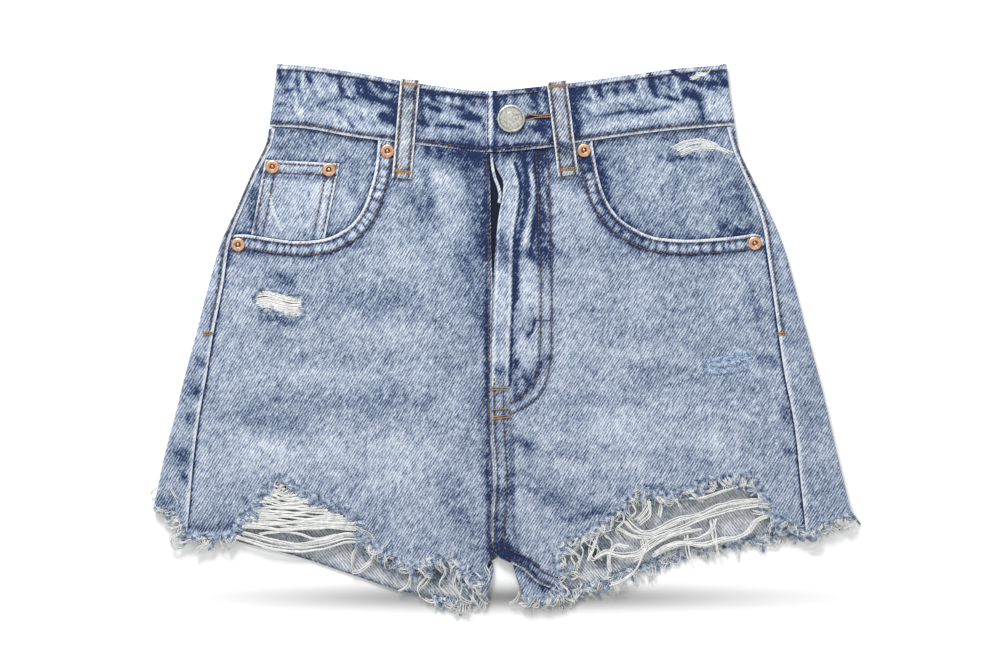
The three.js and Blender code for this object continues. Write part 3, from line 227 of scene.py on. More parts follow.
# Where the wash left the dye dark or took it away, with a painted shadow beside the fly strip's
# rolled edge: two ends and half width in view pixels, and how much paler it is
WASH_AND_PAINTED_SHADE = (
    # waistband, wearer's right
    (282, 76, 283, 84, 3, -0.5), (279, 92, 292, 89, 2, -0.5), (297, 81, 299, 91, 2.6, -0.45),
    (307, 76, 310, 80, 2.4, -0.45), (289, 80, 291, 88, 1.6, 0.3), (303, 76, 303, 90, 1.6, 0.3),
    (312, 78, 323, 92, 4, 0.2), (327, 78, 334, 90, 4, 0.24), (338, 78, 343, 92, 3, -0.6),
    (347, 80, 354, 88, 3, 0.2), (356, 84, 359, 96, 3, -0.5), (364, 84, 372, 100, 4, -0.6),
    (378, 86, 396, 92, 4, -0.5), (341, 97, 354, 99, 2, -0.5), (364, 95, 390, 105, 4, -0.6),
    (379, 116, 397, 112, 2.4, -0.7), (384, 118, 398, 122, 4, -0.8), (394, 100, 397, 126, 2.6, -0.6),
    (278, 103, 286, 105, 1.6, -0.5), (292, 106, 294, 104, 1.4, -0.3), (295, 91, 300, 121, 0.9, 0.5),
    (301, 104, 303, 120, 0.8, 0.5), (290, 100, 296, 108, 1.0, 0.4), (309, 90, 303, 104, 0.9, 0.4),
    (316, 112, 345, 128, 6, 0.16), (350, 122, 353, 127, 2, -0.45), (361, 117, 362, 119, 1.8, -0.4),
    (318, 106, 330, 100, 2, -0.2), (331, 108, 340, 111, 1.6, -0.3), (345, 104, 362, 110, 3, 0.14),
    (366, 113, 382, 118, 3, 0.2), (360, 124, 392, 132, 4, 0.12), (278, 112, 292, 118, 4, 0.12),
    (366, 79, 380, 83, 1.6, -0.4), (368, 93, 373, 96, 1.2, 0.4), (348, 92, 352, 97, 1.2, 0.35),
    # between its loops
    (422, 94, 486, 96, 2.4, -0.55), (427, 106, 440, 111, 2.6, -0.8),
    (451, 106, 463, 109, 2.4, -0.7),
    (461, 117, 477, 119, 3.2, -0.9), (470, 112, 474, 116, 2, -0.5), (436, 125, 463, 127, 1.6, -0.7),
    (419, 122, 429, 125, 1.8, -0.6), (421, 96, 424, 128, 2.4, -0.5), (466, 98, 474, 104, 3, -0.45),
    (447, 98, 455, 104, 3, 0.3), (432, 99, 440, 103, 2, -0.3), (440, 114, 456, 120, 4, 0.2),
    (430, 130, 480, 138, 3, 0.12), (478, 104, 485, 112, 2.4, 0.2), (480, 118, 485, 130, 2, -0.4),
    # its buttoned end
    (502, 87, 546, 86, 5.5, -0.6), (538, 128, 550, 140, 4, -0.5),
    (543, 124, 534, 140, 1.5, 0.35), (500, 130, 542, 129, 5, -0.45), (532, 92, 541, 122, 7, -0.5),
    (498, 98, 499, 126, 3, -0.5), (502, 119, 510, 127, 2.6, 0.4), (524, 92, 533, 104, 2.2, 0.35),
    (503, 93, 510, 90, 2, 0.3), (520, 124, 532, 131, 2.4, 0.3), (536, 98, 540, 104, 1.2, 0.3),
    # waistband, wearer's left
    (572, 92, 578, 134, 5, -0.72), (597, 88, 603, 97, 3.4, -0.5), (651, 78, 654, 92, 3.4, -0.7),
    (685, 92, 700, 98, 4.4, -0.85), (700, 103, 703, 119, 2.8, -0.55), (596, 116, 640, 110, 2, -0.5),
    (640, 113, 670, 107, 2.2, -0.46), (656, 96, 682, 101, 2.2, -0.55),
    (716, 74, 724, 82, 3, -0.4), (578, 96, 590, 100, 3, -0.4),
    (604, 100, 640, 98, 5, 0.14), (655, 94, 680, 110, 6, 0.14), (610, 122, 690, 112, 4, 0.14),
    (704, 96, 728, 116, 7, 0.12), (611, 88, 617, 94, 2.4, -0.4), (628, 84, 634, 92, 2.4, -0.4),
    (662, 82, 668, 88, 2.4, -0.4), (584, 108, 592, 118, 3, -0.25), (620, 104, 628, 106, 1.4, -0.35),
    (706, 88, 716, 90, 2, -0.35), (668, 96, 676, 100, 1.6, -0.3), (600, 128, 640, 122, 1.8, 0.2),
    (590, 86, 594, 104, 1, 0.35), (638, 80, 642, 98, 1, 0.35), (676, 82, 680, 98, 1.2, 0.35),
    (672, 71, 684, 77, 1.7, -0.85), (684, 77, 696, 83, 2.1, -0.95), (697, 84, 728, 84, 3.1, -0.75),
    # right front beside the fly
    (430, 152, 488, 158, 10, -0.4), (466, 150, 487, 250, 14, -0.36), (484, 160, 488, 430, 5, -0.2),
    (462, 250, 486, 330, 12, -0.24), (426, 172, 430, 206, 5, -0.26), (399, 150, 402, 176, 4, -0.42),
    (436, 176, 462, 190, 8, 0.14), (484, 455, 488, 500, 5, -0.22), (470, 372, 486, 440, 8, -0.12),
    # left front round the fly, with painted shadow along x 514 to 516 beside the
    # fly strip's rolled edge
    (500, 150, 556, 156, 9, -0.44), (524, 168, 540, 252, 8, -0.42), (541, 160, 548, 262, 6, -0.4),
    # (516, 240, 515, 310) is painted shadow beside the fly strip's rolled edge
    (516, 240, 515, 310, 2, -0.4), (528, 254, 540, 262, 4, -0.4), (524, 330, 529, 336, 2, -0.2),
    (521, 262, 526, 300, 4, 0.1), (530, 270, 538, 300, 5, 0.1), (546, 172, 548, 182, 1.4, 0.4),
    (543, 190, 545, 198, 1.2, 0.4), (546, 206, 548, 216, 1.4, 0.35), (543, 224, 546, 232, 1.2, 0.4),
    (546, 240, 549, 248, 1.2, 0.35), (520, 346, 532, 356, 5, 0.08), (515, 362, 530, 384, 4, -0.3),
    (546, 358, 520, 396, 7, -0.3), (497, 370, 509, 372, 4.5, -0.36), (498, 244, 507, 260, 5, -0.24),
    (500, 232, 508, 250, 4, -0.3), (500, 262, 508, 272, 4, -0.2),
    (560, 178, 580, 184, 7, -0.32), (587, 152, 590, 172, 5, -0.42),
    (580, 161, 592, 164, 4, -0.4), (522, 284, 545, 306, 8, 0.04),
    # (514, 340, 516, 400) is painted shadow beside the fly strip's rolled edge
    (524, 340, 540, 352, 6, 0.08), (514, 340, 516, 400, 3, -0.3), (553, 250, 566, 256, 5, -0.2),
    (576, 196, 600, 214, 8, 0.08),
    # hip panels
    (251, 190, 257, 236, 5, -0.34), (414, 200, 430, 222, 9, -0.26), (270, 146, 310, 140, 8, -0.12),
    (392, 150, 398, 190, 6, -0.12), (300, 172, 330, 176, 3, -0.24), (300, 236, 380, 246, 5, -0.1),
    (330, 190, 352, 216, 12, 0.1), (602, 160, 604, 204, 6, -0.36), (604, 214, 640, 240, 8, -0.3),
    (724, 226, 746, 234, 8, -0.34), (738, 186, 752, 226, 5, -0.24),
    (664, 158, 712, 158, 3.6, -0.34),
    (664, 138, 678, 143, 2, -0.3),
    (640, 180, 700, 196, 14, 0.06), (700, 160, 716, 172, 8, 0.12), (716, 206, 730, 200, 6, -0.1),
    # side strips
    (201, 361, 204, 362, 5, -0.46), (193, 390, 198, 391, 6, -0.46), (189, 418, 191, 418, 5, -0.4),
    (180, 452, 186, 456, 8, -0.42), (183, 474, 186, 482, 4, -0.36), (160, 500, 176, 504, 7, -0.2),
    (228, 250, 230, 262, 4, -0.2), (762, 358, 774, 362, 5, -0.34), (798, 400, 812, 420, 9, -0.12),
    (812, 470, 836, 492, 10, -0.12), (814, 532, 820, 533, 3, -0.5), (752, 290, 760, 320, 5, -0.16),
    # thighs
    (210, 458, 300, 462, 22, 0.1), (350, 300, 460, 310, 26, -0.08), (570, 324, 750, 324, 18, -0.07),
    (250, 372, 430, 376, 5, 0.06), (580, 350, 700, 362, 5, 0.08), (590, 408, 720, 412, 4, 0.06),
    (300, 362, 420, 352, 7, -0.1), (270, 398, 420, 402, 12, -0.12), (232, 414, 290, 426, 12, -0.12),
    (260, 446, 430, 450, 14, 0.12), (340, 472, 430, 482, 14, 0.1), (446, 482, 486, 556, 14, -0.16),
    (450, 564, 486, 580, 7, -0.3), (188, 526, 236, 529, 5, -0.26), (310, 296, 420, 304, 9, -0.07),
    (340, 322, 420, 340, 14, 0.08), (225, 300, 260, 296, 9, 0.08), (282, 282, 290, 284, 6, -0.26),
    (262, 318, 296, 324, 5, -0.3), (270, 274, 292, 276, 4, -0.2), (600, 430, 720, 440, 14, 0.13),
    (560, 470, 640, 462, 8, 0.12), (514, 476, 560, 504, 9, -0.16), (506, 548, 548, 590, 6, -0.3),
    (560, 398, 640, 402, 8, -0.1), (528, 450, 590, 456, 6, -0.12), (590, 250, 700, 262, 9, -0.08),
    (600, 320, 740, 330, 12, 0.06), (640, 370, 740, 384, 10, -0.1), (560, 500, 640, 516, 9, -0.12),
    (784, 410, 786, 420, 6, -0.34), (786, 448, 790, 452, 5, -0.28), (560, 300, 590, 330, 14, 0.06),
    (516, 440, 530, 446, 5, -0.4), (620, 492, 700, 486, 5, -0.26), (570, 520, 610, 508, 5, -0.26),
    # centre seam and inseam
    (494, 440, 508, 470, 6, 0.12), (496, 490, 506, 492, 5, -0.3), (494, 520, 508, 560, 7, -0.26),
    (706, 368, 752, 360, 8, 0.02),
    (520, 566, 546, 588, 5, -0.32), (492, 547, 508, 556, 5, -0.6), (506, 548, 537, 566, 1.7, -0.5),
    (512, 562, 552, 590, 1.3, 0.45),
)
# Shade on the inside of the back, seen through the rips
INSIDE = (
    (430, 566, 440, 580, 9, -0.6), (584, 556, 606, 548, 8, -0.4), (300, 534, 345, 542, 3, -0.2),
    (262, 532, 300, 536, 4, -0.25), (450, 584, 462, 594, 6, 0.3), (640, 560, 700, 546, 6, 0.2),
    (514, 566, 538, 598, 12, -0.5),
    (590, 548, 606, 566, 7, -0.5), (488, 568, 496, 552, 5, -0.9),
)
# Worn down to the white weft: as above, and how bare
BARE = (
    (674, 149, 688, 143, 1.8, 0.8), (688, 142, 704, 141, 2.0, 0.8), (704, 142, 724, 152, 1.6, 0.75),
    (686, 150, 710, 146, 2.6, 0.8), (710, 367, 722, 363, 5, 0.6), (728, 362, 748, 357, 5, 0.42),
    (697, 73, 705, 73, 2, 0.8), (269, 194, 273, 210, 1.8, 0.8), (273, 210, 281, 230, 1.8, 0.8),
)
# Creases and worn edges round the fly, painted darker in their troughs as painted shade and
# paler on their ridges as painted highlight and wear: rise in millimetres, how much paler,
# half width and path in view pixels
CREASES = (
    (-0.7, -0.8, 1.2, ((515, 163), (520, 180), (520.5, 196), (518, 216), (515, 236), (514, 262),
                        (513, 306), (511.5, 343), (510, 386))),
    (0.3, 0.3, 1.4, ((512, 166), (516.5, 180), (517, 196), (514.5, 216), (511.5, 236), (510, 262),
                      (509.5, 306), (508, 343), (506.5, 384))),
    (0.3, 0.4, 1.3, ((505, 184), (502, 196), (499, 218), (497, 270), (495.5, 306), (494.5, 343),
                     (494, 386))),
    (0.6, 0.5, 2.4, ((528.5, 170), (533, 186), (532, 205), (528.5, 227), (525, 244))),
    (-0.5, -0.6, 2.6, ((524, 156), (527, 180), (525.5, 200), (522.5, 220), (519, 240),
                       (517, 262), (516, 300))),
    (-0.35, -0.55, 1.9, ((534, 158), (538, 186), (537.5, 208), (533, 236), (530, 256))),
    (-0.3, -0.75, 1.5, ((534.5, 319), (533, 330), (528, 336))),
    (-0.1, -0.4, 0.9, ((536, 320.5), (551.6, 320.5))),
    (0.25, 0.1, 4.5, ((508, 160), (512, 180), (510, 205), (506, 230), (503.5, 270), (502, 320),
                      (501, 362))),
    (-0.3, -0.3, 2.4, ((488, 160), (487, 220), (487, 300), (486.5, 400))),
    (-0.3, -0.25, 2.0, ((512, 420), (513, 470), (514, 530), (520, 556))),
    (-0.2, -0.35, 2.0, ((487, 440), (488, 490), (489, 540))),
)


# Numbers and lines


def through(table: Sequence[Row], key: str, value: str) -> Callable[[Array], Array]:
    """Smooth function of one column of a table through another, straight beyond its ends.

    Args:
        table: rows with both columns.
        key: the column that is given.
        value: the column that is read.

    Returns:
        A function of an array of keys.
    """
    pairs = sorted((row[key], row[value]) for row in table)
    xs = np.array([pair[0] for pair in pairs], float)
    ys = np.array([pair[1] for pair in pairs], float)
    last = len(xs) - 1
    before = np.maximum(np.arange(last + 1) - 1, 0)
    after = np.minimum(np.arange(last + 1) + 1, last)
    slope = (ys[after] - ys[before]) / (xs[after] - xs[before])

    def read(at: Array) -> Array:
        """The value at each key.

        Args:
            at: the keys.

        Returns:
            The value at each key.
        """
        at = np.asarray(at, float)
        i = np.clip(np.searchsorted(xs, at) - 1, 0, last - 1)
        h = xs[i + 1] - xs[i]
        t = (at - xs[i]) / h
        t2, t3 = t * t, t * t * t
        inside = ys[i] * (2 * t3 - 3 * t2 + 1) + slope[i] * h * (t3 - 2 * t2 + t)
        inside = inside + ys[i + 1] * (3 * t2 - 2 * t3) + slope[i + 1] * h * (t3 - t2)
        low = ys[0] + slope[0] * (at - xs[0])
        high = ys[last] + slope[last] * (at - xs[last])
        return np.where(at <= xs[0], low, np.where(at >= xs[last], high, inside))

    return read


def mix(a: float, b: float, t: float) -> float:
    """The value between a and b at the share t."""
    return a + (b - a) * t


def smooth(start: float, end: float, at: Array) -> Array:
    """A soft step from 0 at start to 1 at end."""
    t = np.clip((np.asarray(at, float) - start) / (end - start), 0, 1)
    return t * t * (3 - 2 * t)


def bell(off: Array, half: Array | float) -> Array:
    """A soft bump of 1 where off is 0, as wide as its half width says."""
    return np.exp(-((off / half) ** 2))


def lines_beside(off: Array, *marks: tuple) -> Array:
    """Soft lines beside an edge, each by its place, half width and strength."""
    return sum(amount * bell(off - place, half) for place, half, amount in marks)


def wander(at: Array, pace: float, swing: float, slow: float) -> Array:
    """A wave from -1 to 1 whose pace drifts."""
    return np.sin(at * pace + swing * np.sin(at * slow))


def blotches(at: Array, pace: float, swing: float, slow: float) -> Array:
    """The same from 0 to 1."""
    return 0.5 + 0.5 * wander(at, pace, swing, slow)


def stack(*columns: Array) -> Line:
    """Columns of numbers as rows of points."""
    return np.column_stack(columns)


def evenly(points: Table, step: float) -> Line:
    """Points a step apart along a chain of points, with both ends kept.

    Args:
        points: the chain.
        step: how far apart.

    Returns:
        The points, with both ends.
    """
    path = np.array(points, float)
    length = np.concatenate([[0], np.cumsum(np.linalg.norm(np.diff(path, axis=0), axis=1))])
    count = max(1, round(length[-1] / step))
    at = np.linspace(0, length[-1], count + 1)
    return np.column_stack([np.interp(at, length, path[:, k]) for k in range(path.shape[1])])


def curve(points: Table, step: float) -> Line:
    """Points a step apart along a smooth curve through the given ones.

    Args:
        points: the given ones.
        step: how far apart.

    Returns:
        Points along the curve.
    """
    p = np.array(points, float)
    p = np.vstack([2 * p[0] - p[1], p, 2 * p[-1] - p[-2]])
    t = np.linspace(0, 1, 13)[:-1, None]
    parts = []
    for a, b, c, d in zip(p[:-3], p[1:-2], p[2:-1], p[3:]):
        bend = (2 * a - 5 * b + 4 * c - d) * t**2 + (3 * b - a - 3 * c + d) * t**3
        parts.append(0.5 * (2 * b + (c - a) * t + bend))
    return evenly(np.vstack([*parts, p[-2:-1]]), step)


def beside(path: Line, x: Array, y: Array) -> Pair:
    """Where points lie beside a path.

    Args:
        path: the path's points.
        x: one coordinate of the points.
        y: the other.

    Returns:
        The distance from the path, above zero on its left, and the length along it.
    """
    best = np.full(np.shape(x), np.inf)
    signed, along, start = np.zeros_like(best), np.zeros_like(best), 0.0
    for (x0, y0), (x1, y1) in zip(path[:-1, :2], path[1:, :2]):
        dx, dy = x1 - x0, y1 - y0
        length = max(1e-9, math.hypot(dx, dy))
        t = np.clip(((x - x0) * dx + (y - y0) * dy) / length**2, 0, 1)
        px, py = x - x0 - t * dx, y - y0 - t * dy
        d = np.hypot(px, py)
        near = d < best
        best = np.where(near, d, best)
        signed = np.where(near, np.where(dx * py - dy * px < 0, -d, d), signed)
        along = np.where(near, start + t * length, along)
        start += length
    return signed, along


def inside(outline: Line, x: Array, y: Array) -> Array:
    """Whether points lie within a closed outline.

    Args:
        outline: its corners in order.
        x: the points' x.
        y: the points' y.

    Returns:
        True for each point within it.
    """
    crossed = np.zeros(np.shape(x), bool)
    for (x0, y0), (x1, y1) in zip(outline, np.roll(outline, -1, axis=0)):
        if y0 != y1:
            spans = (y0 > y) != (y1 > y)
            crossed ^= spans & (x < x0 + (y - y0) * (x1 - x0) / (y1 - y0))
    return crossed


def shifted(path: Line, offset: float) -> Line:
    """A path moved to its left by an offset.

    Args:
        path: its points.
        offset: how far, below zero to its right.

    Returns:
        The moved path.
    """
    along = np.gradient(path[:, :2], axis=0)
    along /= np.linalg.norm(along, axis=1)[:, None]
    return path[:, :2] + offset * stack(-along[:, 1], along[:, 0])


def view(points: Iterable[Sequence[float]]) -> list[tuple[float, float]]:
    """Places in view pixels, in millimetres."""
    cx, cy = VIEW_CENTRE
    return [((px - cx) * VIEW_SCALE, (cy - py) * VIEW_SCALE) for px, py in points]


def waves(x: Array, y: Array, size: float, seed: int) -> Array:
    """Gentle unevenness from -1 to 1 with bumps of about a size.

    Args:
        x: the points' x.
        y: the points' y.
        size: how wide a bump is.
        seed: the draw.

    Returns:
        The unevenness at each point.
    """
    random = np.random.default_rng(seed)
    total = np.zeros_like(x)
    for _ in range(6):
        turn, phase = random.uniform(0, 2 * math.pi, 2)
        pitch = 2 * size * random.uniform(0.7, 1.5)
        total += np.sin((x * math.cos(turn) + y * math.sin(turn)) * 2 * math.pi / pitch + phase)
    return total / 6


def strokes(table: Table, x: Array, y: Array) -> Array:
    """The sum of soft strokes at points.

    Args:
        table: two ends, half width and strength of each, in view pixels.
        x: the points' x.
        y: the points' y.

    Returns:
        Their sum at each point.
    """
    total = np.zeros_like(x)
    for x0, y0, x1, y1, half, amount in table:
        ends = np.array(view([(x0, y0), (x1 + 0.01, y1)]))
        d, _ = beside(ends, x, y)
        total += amount * bell(d, half * VIEW_SCALE)
    return total


def worn(x: Array, y: Array) -> Array:
    """How bare the cloth is at points, from 0 to 1."""
    return np.clip(strokes(BARE, x, y), 0, 1)


def closed(outline: Table) -> Line:
    """An outline with its first point again at its end."""
    return np.array([*outline, outline[0]], float)


def crease(x: Array, y: Array, column: int) -> Array:
    """What the creases add at points: to the height for column 0, to the wash for column 1,
    which is painted shade in their troughs and painted highlight and wear on their ridges.

    Args:
        x: the points' x.
        y: the points' y.
        column: 0 for the height, 1 for the wash.

    Returns:
        What they add at each point.
    """
    total = np.zeros_like(x)
    near = (np.abs(x - 8) < 34) & (y < 130)
    for row in CREASES:
        d, _ = beside(curve(view(row[3]), 3), x[near], y[near])
        total[near] += row[column] * bell(d, row[2] * VIEW_SCALE)
    return total


class Form:
    """The lay of the shorts: the lines and heights that the solids are built from."""

    def __init__(self) -> None:
        """Reads the tables into curves."""
        self.fold = {-1: through(RIGHT_SIDE, "y", "fold"), 1: through(LEFT_SIDE, "y", "fold")}
        self.seam = {-1: through(RIGHT_SIDE, "y", "seam"), 1: through(LEFT_SIDE, "y", "seam")}
        self.waist_seam = through(WAIST, "x", "seam")
        self.waist_top = through(WAIST, "x", "top")
        self.pocket = {-1: curve(RIGHT_POCKET, 1.4), 1: curve(LEFT_POCKET, 1.4)}
        self.fly = curve(FLY_EDGE, 1.4)
        self.inseam = curve(INSEAM, 1.4)

    def front_top(self, x: Array, y: Array) -> Array:
        """Outer face of the front, before seams and turned edges.

        Args:
            x: the points' x.
            y: the points' y.

        Returns:
            The height at each point.
        """
        z = np.full(np.shape(x), FRONT_TOP)
        for x0, y0, x1, y1, half, rise in FOLDS:
            d, _ = beside(np.array([(x0, y0), (x1, y1)], float), x, y)
            z = z + rise * bell(d, half)
        return z

    def seam_top(self, x: Array, y: Array) -> Array:
        """Outer face of the front where a seam thickens it."""
        return self.front_top(x, y) + SEAM_BULK

    def hip_top(self, x: Array, y: Array, side: int) -> Array:
        """Outer face of a hip panel, below the front at the pocket edge.

        Args:
            x: the points' x.
            y: the points' y.
            side: -1 for the right side, 1 for the left one.

        Returns:
            The height at each point.
        """
        outside = np.abs(beside(self.pocket[side][::4], x, y)[0])
        sideways = np.minimum(x - self.seam[-1](y), self.seam[1](y) - x)
        level = smooth(4, 30, outside) * smooth(26, 6, sideways)
        return self.front_top(x, y) - (WALL + GAP + 0.15) * (1 - 0.75 * level)

    def coin_top(self, x: Array, y: Array) -> Array:
        """Outer face of the coin pocket."""
        return self.hip_top(x, y, -1) + GAP + 0.1 + PATCH_WALL

    def band_top(self, x: Array, on_top: bool) -> Array:
        """Outer face of the waistband over the front, on its buttoned end or below it.

        Args:
            x: the points' x.
            on_top: whether the buttoned end is meant.

        Returns:
            The height at each point.
        """
        if on_top:
            return mix(OVERLAP_TOP, BAND_TOP, smooth(UNDERLAP_END + 4, UNDERLAP_END + 42, x))
        return mix(BAND_TOP, UNDERLAP_TOP, smooth(-34, -13, x))

    def band_over(self, x: Array, _: Array) -> Array:
        """Outer face of the waistband on its buttoned end's side."""
        return self.band_top(x, True)

    def yoke_line(self, x: Array) -> Array:
        """The yoke seam across the back."""
        return mix(YOKE_CENTRE_Y, YOKE_SIDE_Y, np.minimum(1, np.abs(x) / 172) ** 1.15)


FORM = Form()


# Materials


class Nodes:
    """A node tree that is built one node at a time."""

    def __init__(self, tree: bpy.types.NodeTree) -> None:
        """Takes up a tree."""
        self.tree = tree

    def add(
        self,
        kind: str,
        settings: dict[str, object] | None = None,
        inputs: dict[int | str, object] | None = None,
        output: int | str = 0,
    ) -> Socket | None:
        """Adds a node.

        Args:
            kind: the node's type.
            settings: its properties, and "stops" for a colour ramp.
            inputs: a value or a link for each socket, by number, name or identifier.
            output: the socket that is returned.

        Returns:
            The output, or nothing for a node without one.
        """
        made = self.tree.nodes.new(kind)
        for name, setting in (settings or {}).items():
            if name == "stops":
                ramp = made.color_ramp.elements
                while len(ramp) < len(setting):
                    ramp.new(0.5)
                for element, (place, shade) in zip(ramp, setting):
                    element.position, element.color = place, shade.linear()
            else:
                setattr(made, name, setting)
        for key, value in (inputs or {}).items():
            socket = self.found(made.inputs, key)
            value = value.socket if isinstance(value, Value) else value
            if isinstance(value, Socket):
                self.tree.links.new(value, socket)
            else:
                socket.default_value = value.linear() if isinstance(value, Shade) else value
        return self.found(made.outputs, output) if made.outputs else None

    def found(self, sockets: Sequence[Socket], key: int | str) -> Socket:
        """A socket by its number, or the one in use with a name or identifier.

        Args:
            sockets: a node's inputs or outputs.
            key: a number, name or identifier.

        Returns:
            The socket.
        """
        if isinstance(key, int):
            return sockets[key]
        return next(s for s in sockets if s.enabled and key in (s.name, s.identifier))


class Value:
    """A number in a shader, kept as a socket, that takes part in sums."""

    def __init__(self, graph: "Graph", socket: Socket) -> None:
        """Wraps a socket of a graph."""
        self.graph = graph
        self.socket = socket

    def _math(self, operation: str, *values: "Value | float") -> "Value":
        """One Math node over this and other values."""
        inputs = dict(enumerate(values))
        return self.graph.node("ShaderNodeMath", {"operation": operation}, inputs)

    def __add__(self, other: "Value | float") -> "Value":
        """Sum."""
        return self._math("ADD", self, other)

    __radd__ = __add__

    def __mul__(self, other: "Value | float") -> "Value":
        """Product."""
        return self._math("MULTIPLY", self, other)

    __rmul__ = __mul__

    def __sub__(self, other: "Value | float") -> "Value":
        """Difference."""
        return self._math("SUBTRACT", self, other)

    def __rsub__(self, other: float) -> "Value":
        """Difference from a number."""
        return self._math("SUBTRACT", other, self)

    def __truediv__(self, other: "Value | float") -> "Value":
        """Quotient."""
        return self._math("DIVIDE", self, other)

    def __rpow__(self, other: float) -> "Value":
        """A number raised to this power."""
        return self._math("POWER", other, self)

    def sine(self) -> "Value":
        """Sine, brought to 0 to 1."""
        return self._math("SINE", self) * 0.5 + 0.5

    def clamped(self) -> "Value":
        """Kept from 0 to 1."""
        return self.graph.node("ShaderNodeClamp", {}, {0: self})


class Graph(Nodes):
    """A material's nodes."""

    def __init__(self, name: str) -> None:
        """Starts an empty material.

        Args:
            name: the material's name.
        """
        self.material = bpy.data.materials.new(name)
        self.material.use_nodes = True
        super().__init__(self.material.node_tree)
        self.tree.nodes.clear()

    def node(
        self,
        kind: str,
        settings: dict[str, object] | None = None,
        inputs: dict[int | str, object] | None = None,
        output: int | str = 0,
    ) -> Value:
        """Adds a node and wraps its output, so that it takes part in sums."""
        return Value(self, self.add(kind, settings, inputs, output))

    def place(self) -> Value:
        """The object's own coordinates in millimetres."""
        own = self.node("ShaderNodeTexCoord", {}, {}, "Object")
        return self.node("ShaderNodeVectorMath", {"operation": "SCALE"}, {0: own, "Scale": 1000.0})

    def stretched(self, place: Value, scale: Sequence[float], turn: float = 0.0) -> Value:
        """Coordinates turned about Z and scaled.

        Args:
            place: the coordinates.
            scale: the scale along each axis.
            turn: degrees.

        Returns:
            The new coordinates.
        """
        settings = {"vector_type": "POINT"}
        values = {"Vector": place, "Rotation": (0, 0, math.radians(turn)), "Scale": scale}
        return self.node("ShaderNodeMapping", settings, values)

    def part(self, place: Value, axis: int) -> Value:
        """One coordinate of a place."""
        return self.node("ShaderNodeSeparateXYZ", {}, {0: place}, axis)

    def noise(self, place: Value, scale: float, detail: float = 3, rough: float = 0.55) -> Value:
        """A soft noise from 0 to 1."""
        values = {"Vector": place, "Scale": scale, "Detail": detail, "Roughness": rough}
        return self.node("ShaderNodeTexNoise", {}, values)

    def attribute(self, name: str) -> Value:
        """A number kept on the mesh's points."""
        return self.node("ShaderNodeAttribute", {"attribute_name": name}, {}, "Fac")

    def blend(self, share: Value | float, first: "Value | Shade", second: "Value | Shade") -> Value:
        """A mix of two colours."""
        values = {"Factor_Float": share, "A_Color": first, "B_Color": second}
        return self.node("ShaderNodeMix", {"data_type": "RGBA"}, values, "Result_Color")

    def finish(
        self,
        color: Value,
        rough: Value | float,
        height: Value,
        depth: float,
        constants: dict[str, float] | None = None,
    ) -> Material:
        """Ends the material in its shader.

        Args:
            color: base colour.
            rough: roughness.
            height: relief from 0 to 1.
            depth: what a relief of 1 stands for, in millimetres.
            constants: numbers set on the shader's own sockets.

        Returns:
            The material.
        """
        bump = {"Height": height, "Distance": depth * MM, "Strength": 1.0}
        normal = self.node("ShaderNodeBump", {}, bump)
        inputs = {"Base Color": color, "Roughness": rough, "Normal": normal, **(constants or {})}
        shader = self.node("ShaderNodeBsdfPrincipled", {}, inputs)
        self.node("ShaderNodeOutputMaterial", {}, {"Surface": shader})
        return self.material


@dataclass(frozen=True)
class Shade:
    """A colour as a screen shows it, each part from 0 to 255."""

    red: float
    green: float
    blue: float

    def linear(self) -> tuple[float, float, float, float]:
        """The colour as the renderer reckons it.

        Returns:
            Red, green and blue, and 1.
        """
        parts = [c / 255 for c in (self.red, self.green, self.blue)]
        lit = [p / 12.92 if p <= 0.04045 else ((p + 0.055) / 1.055) ** 2.4 for p in parts]
        return (*lit, 1.0)


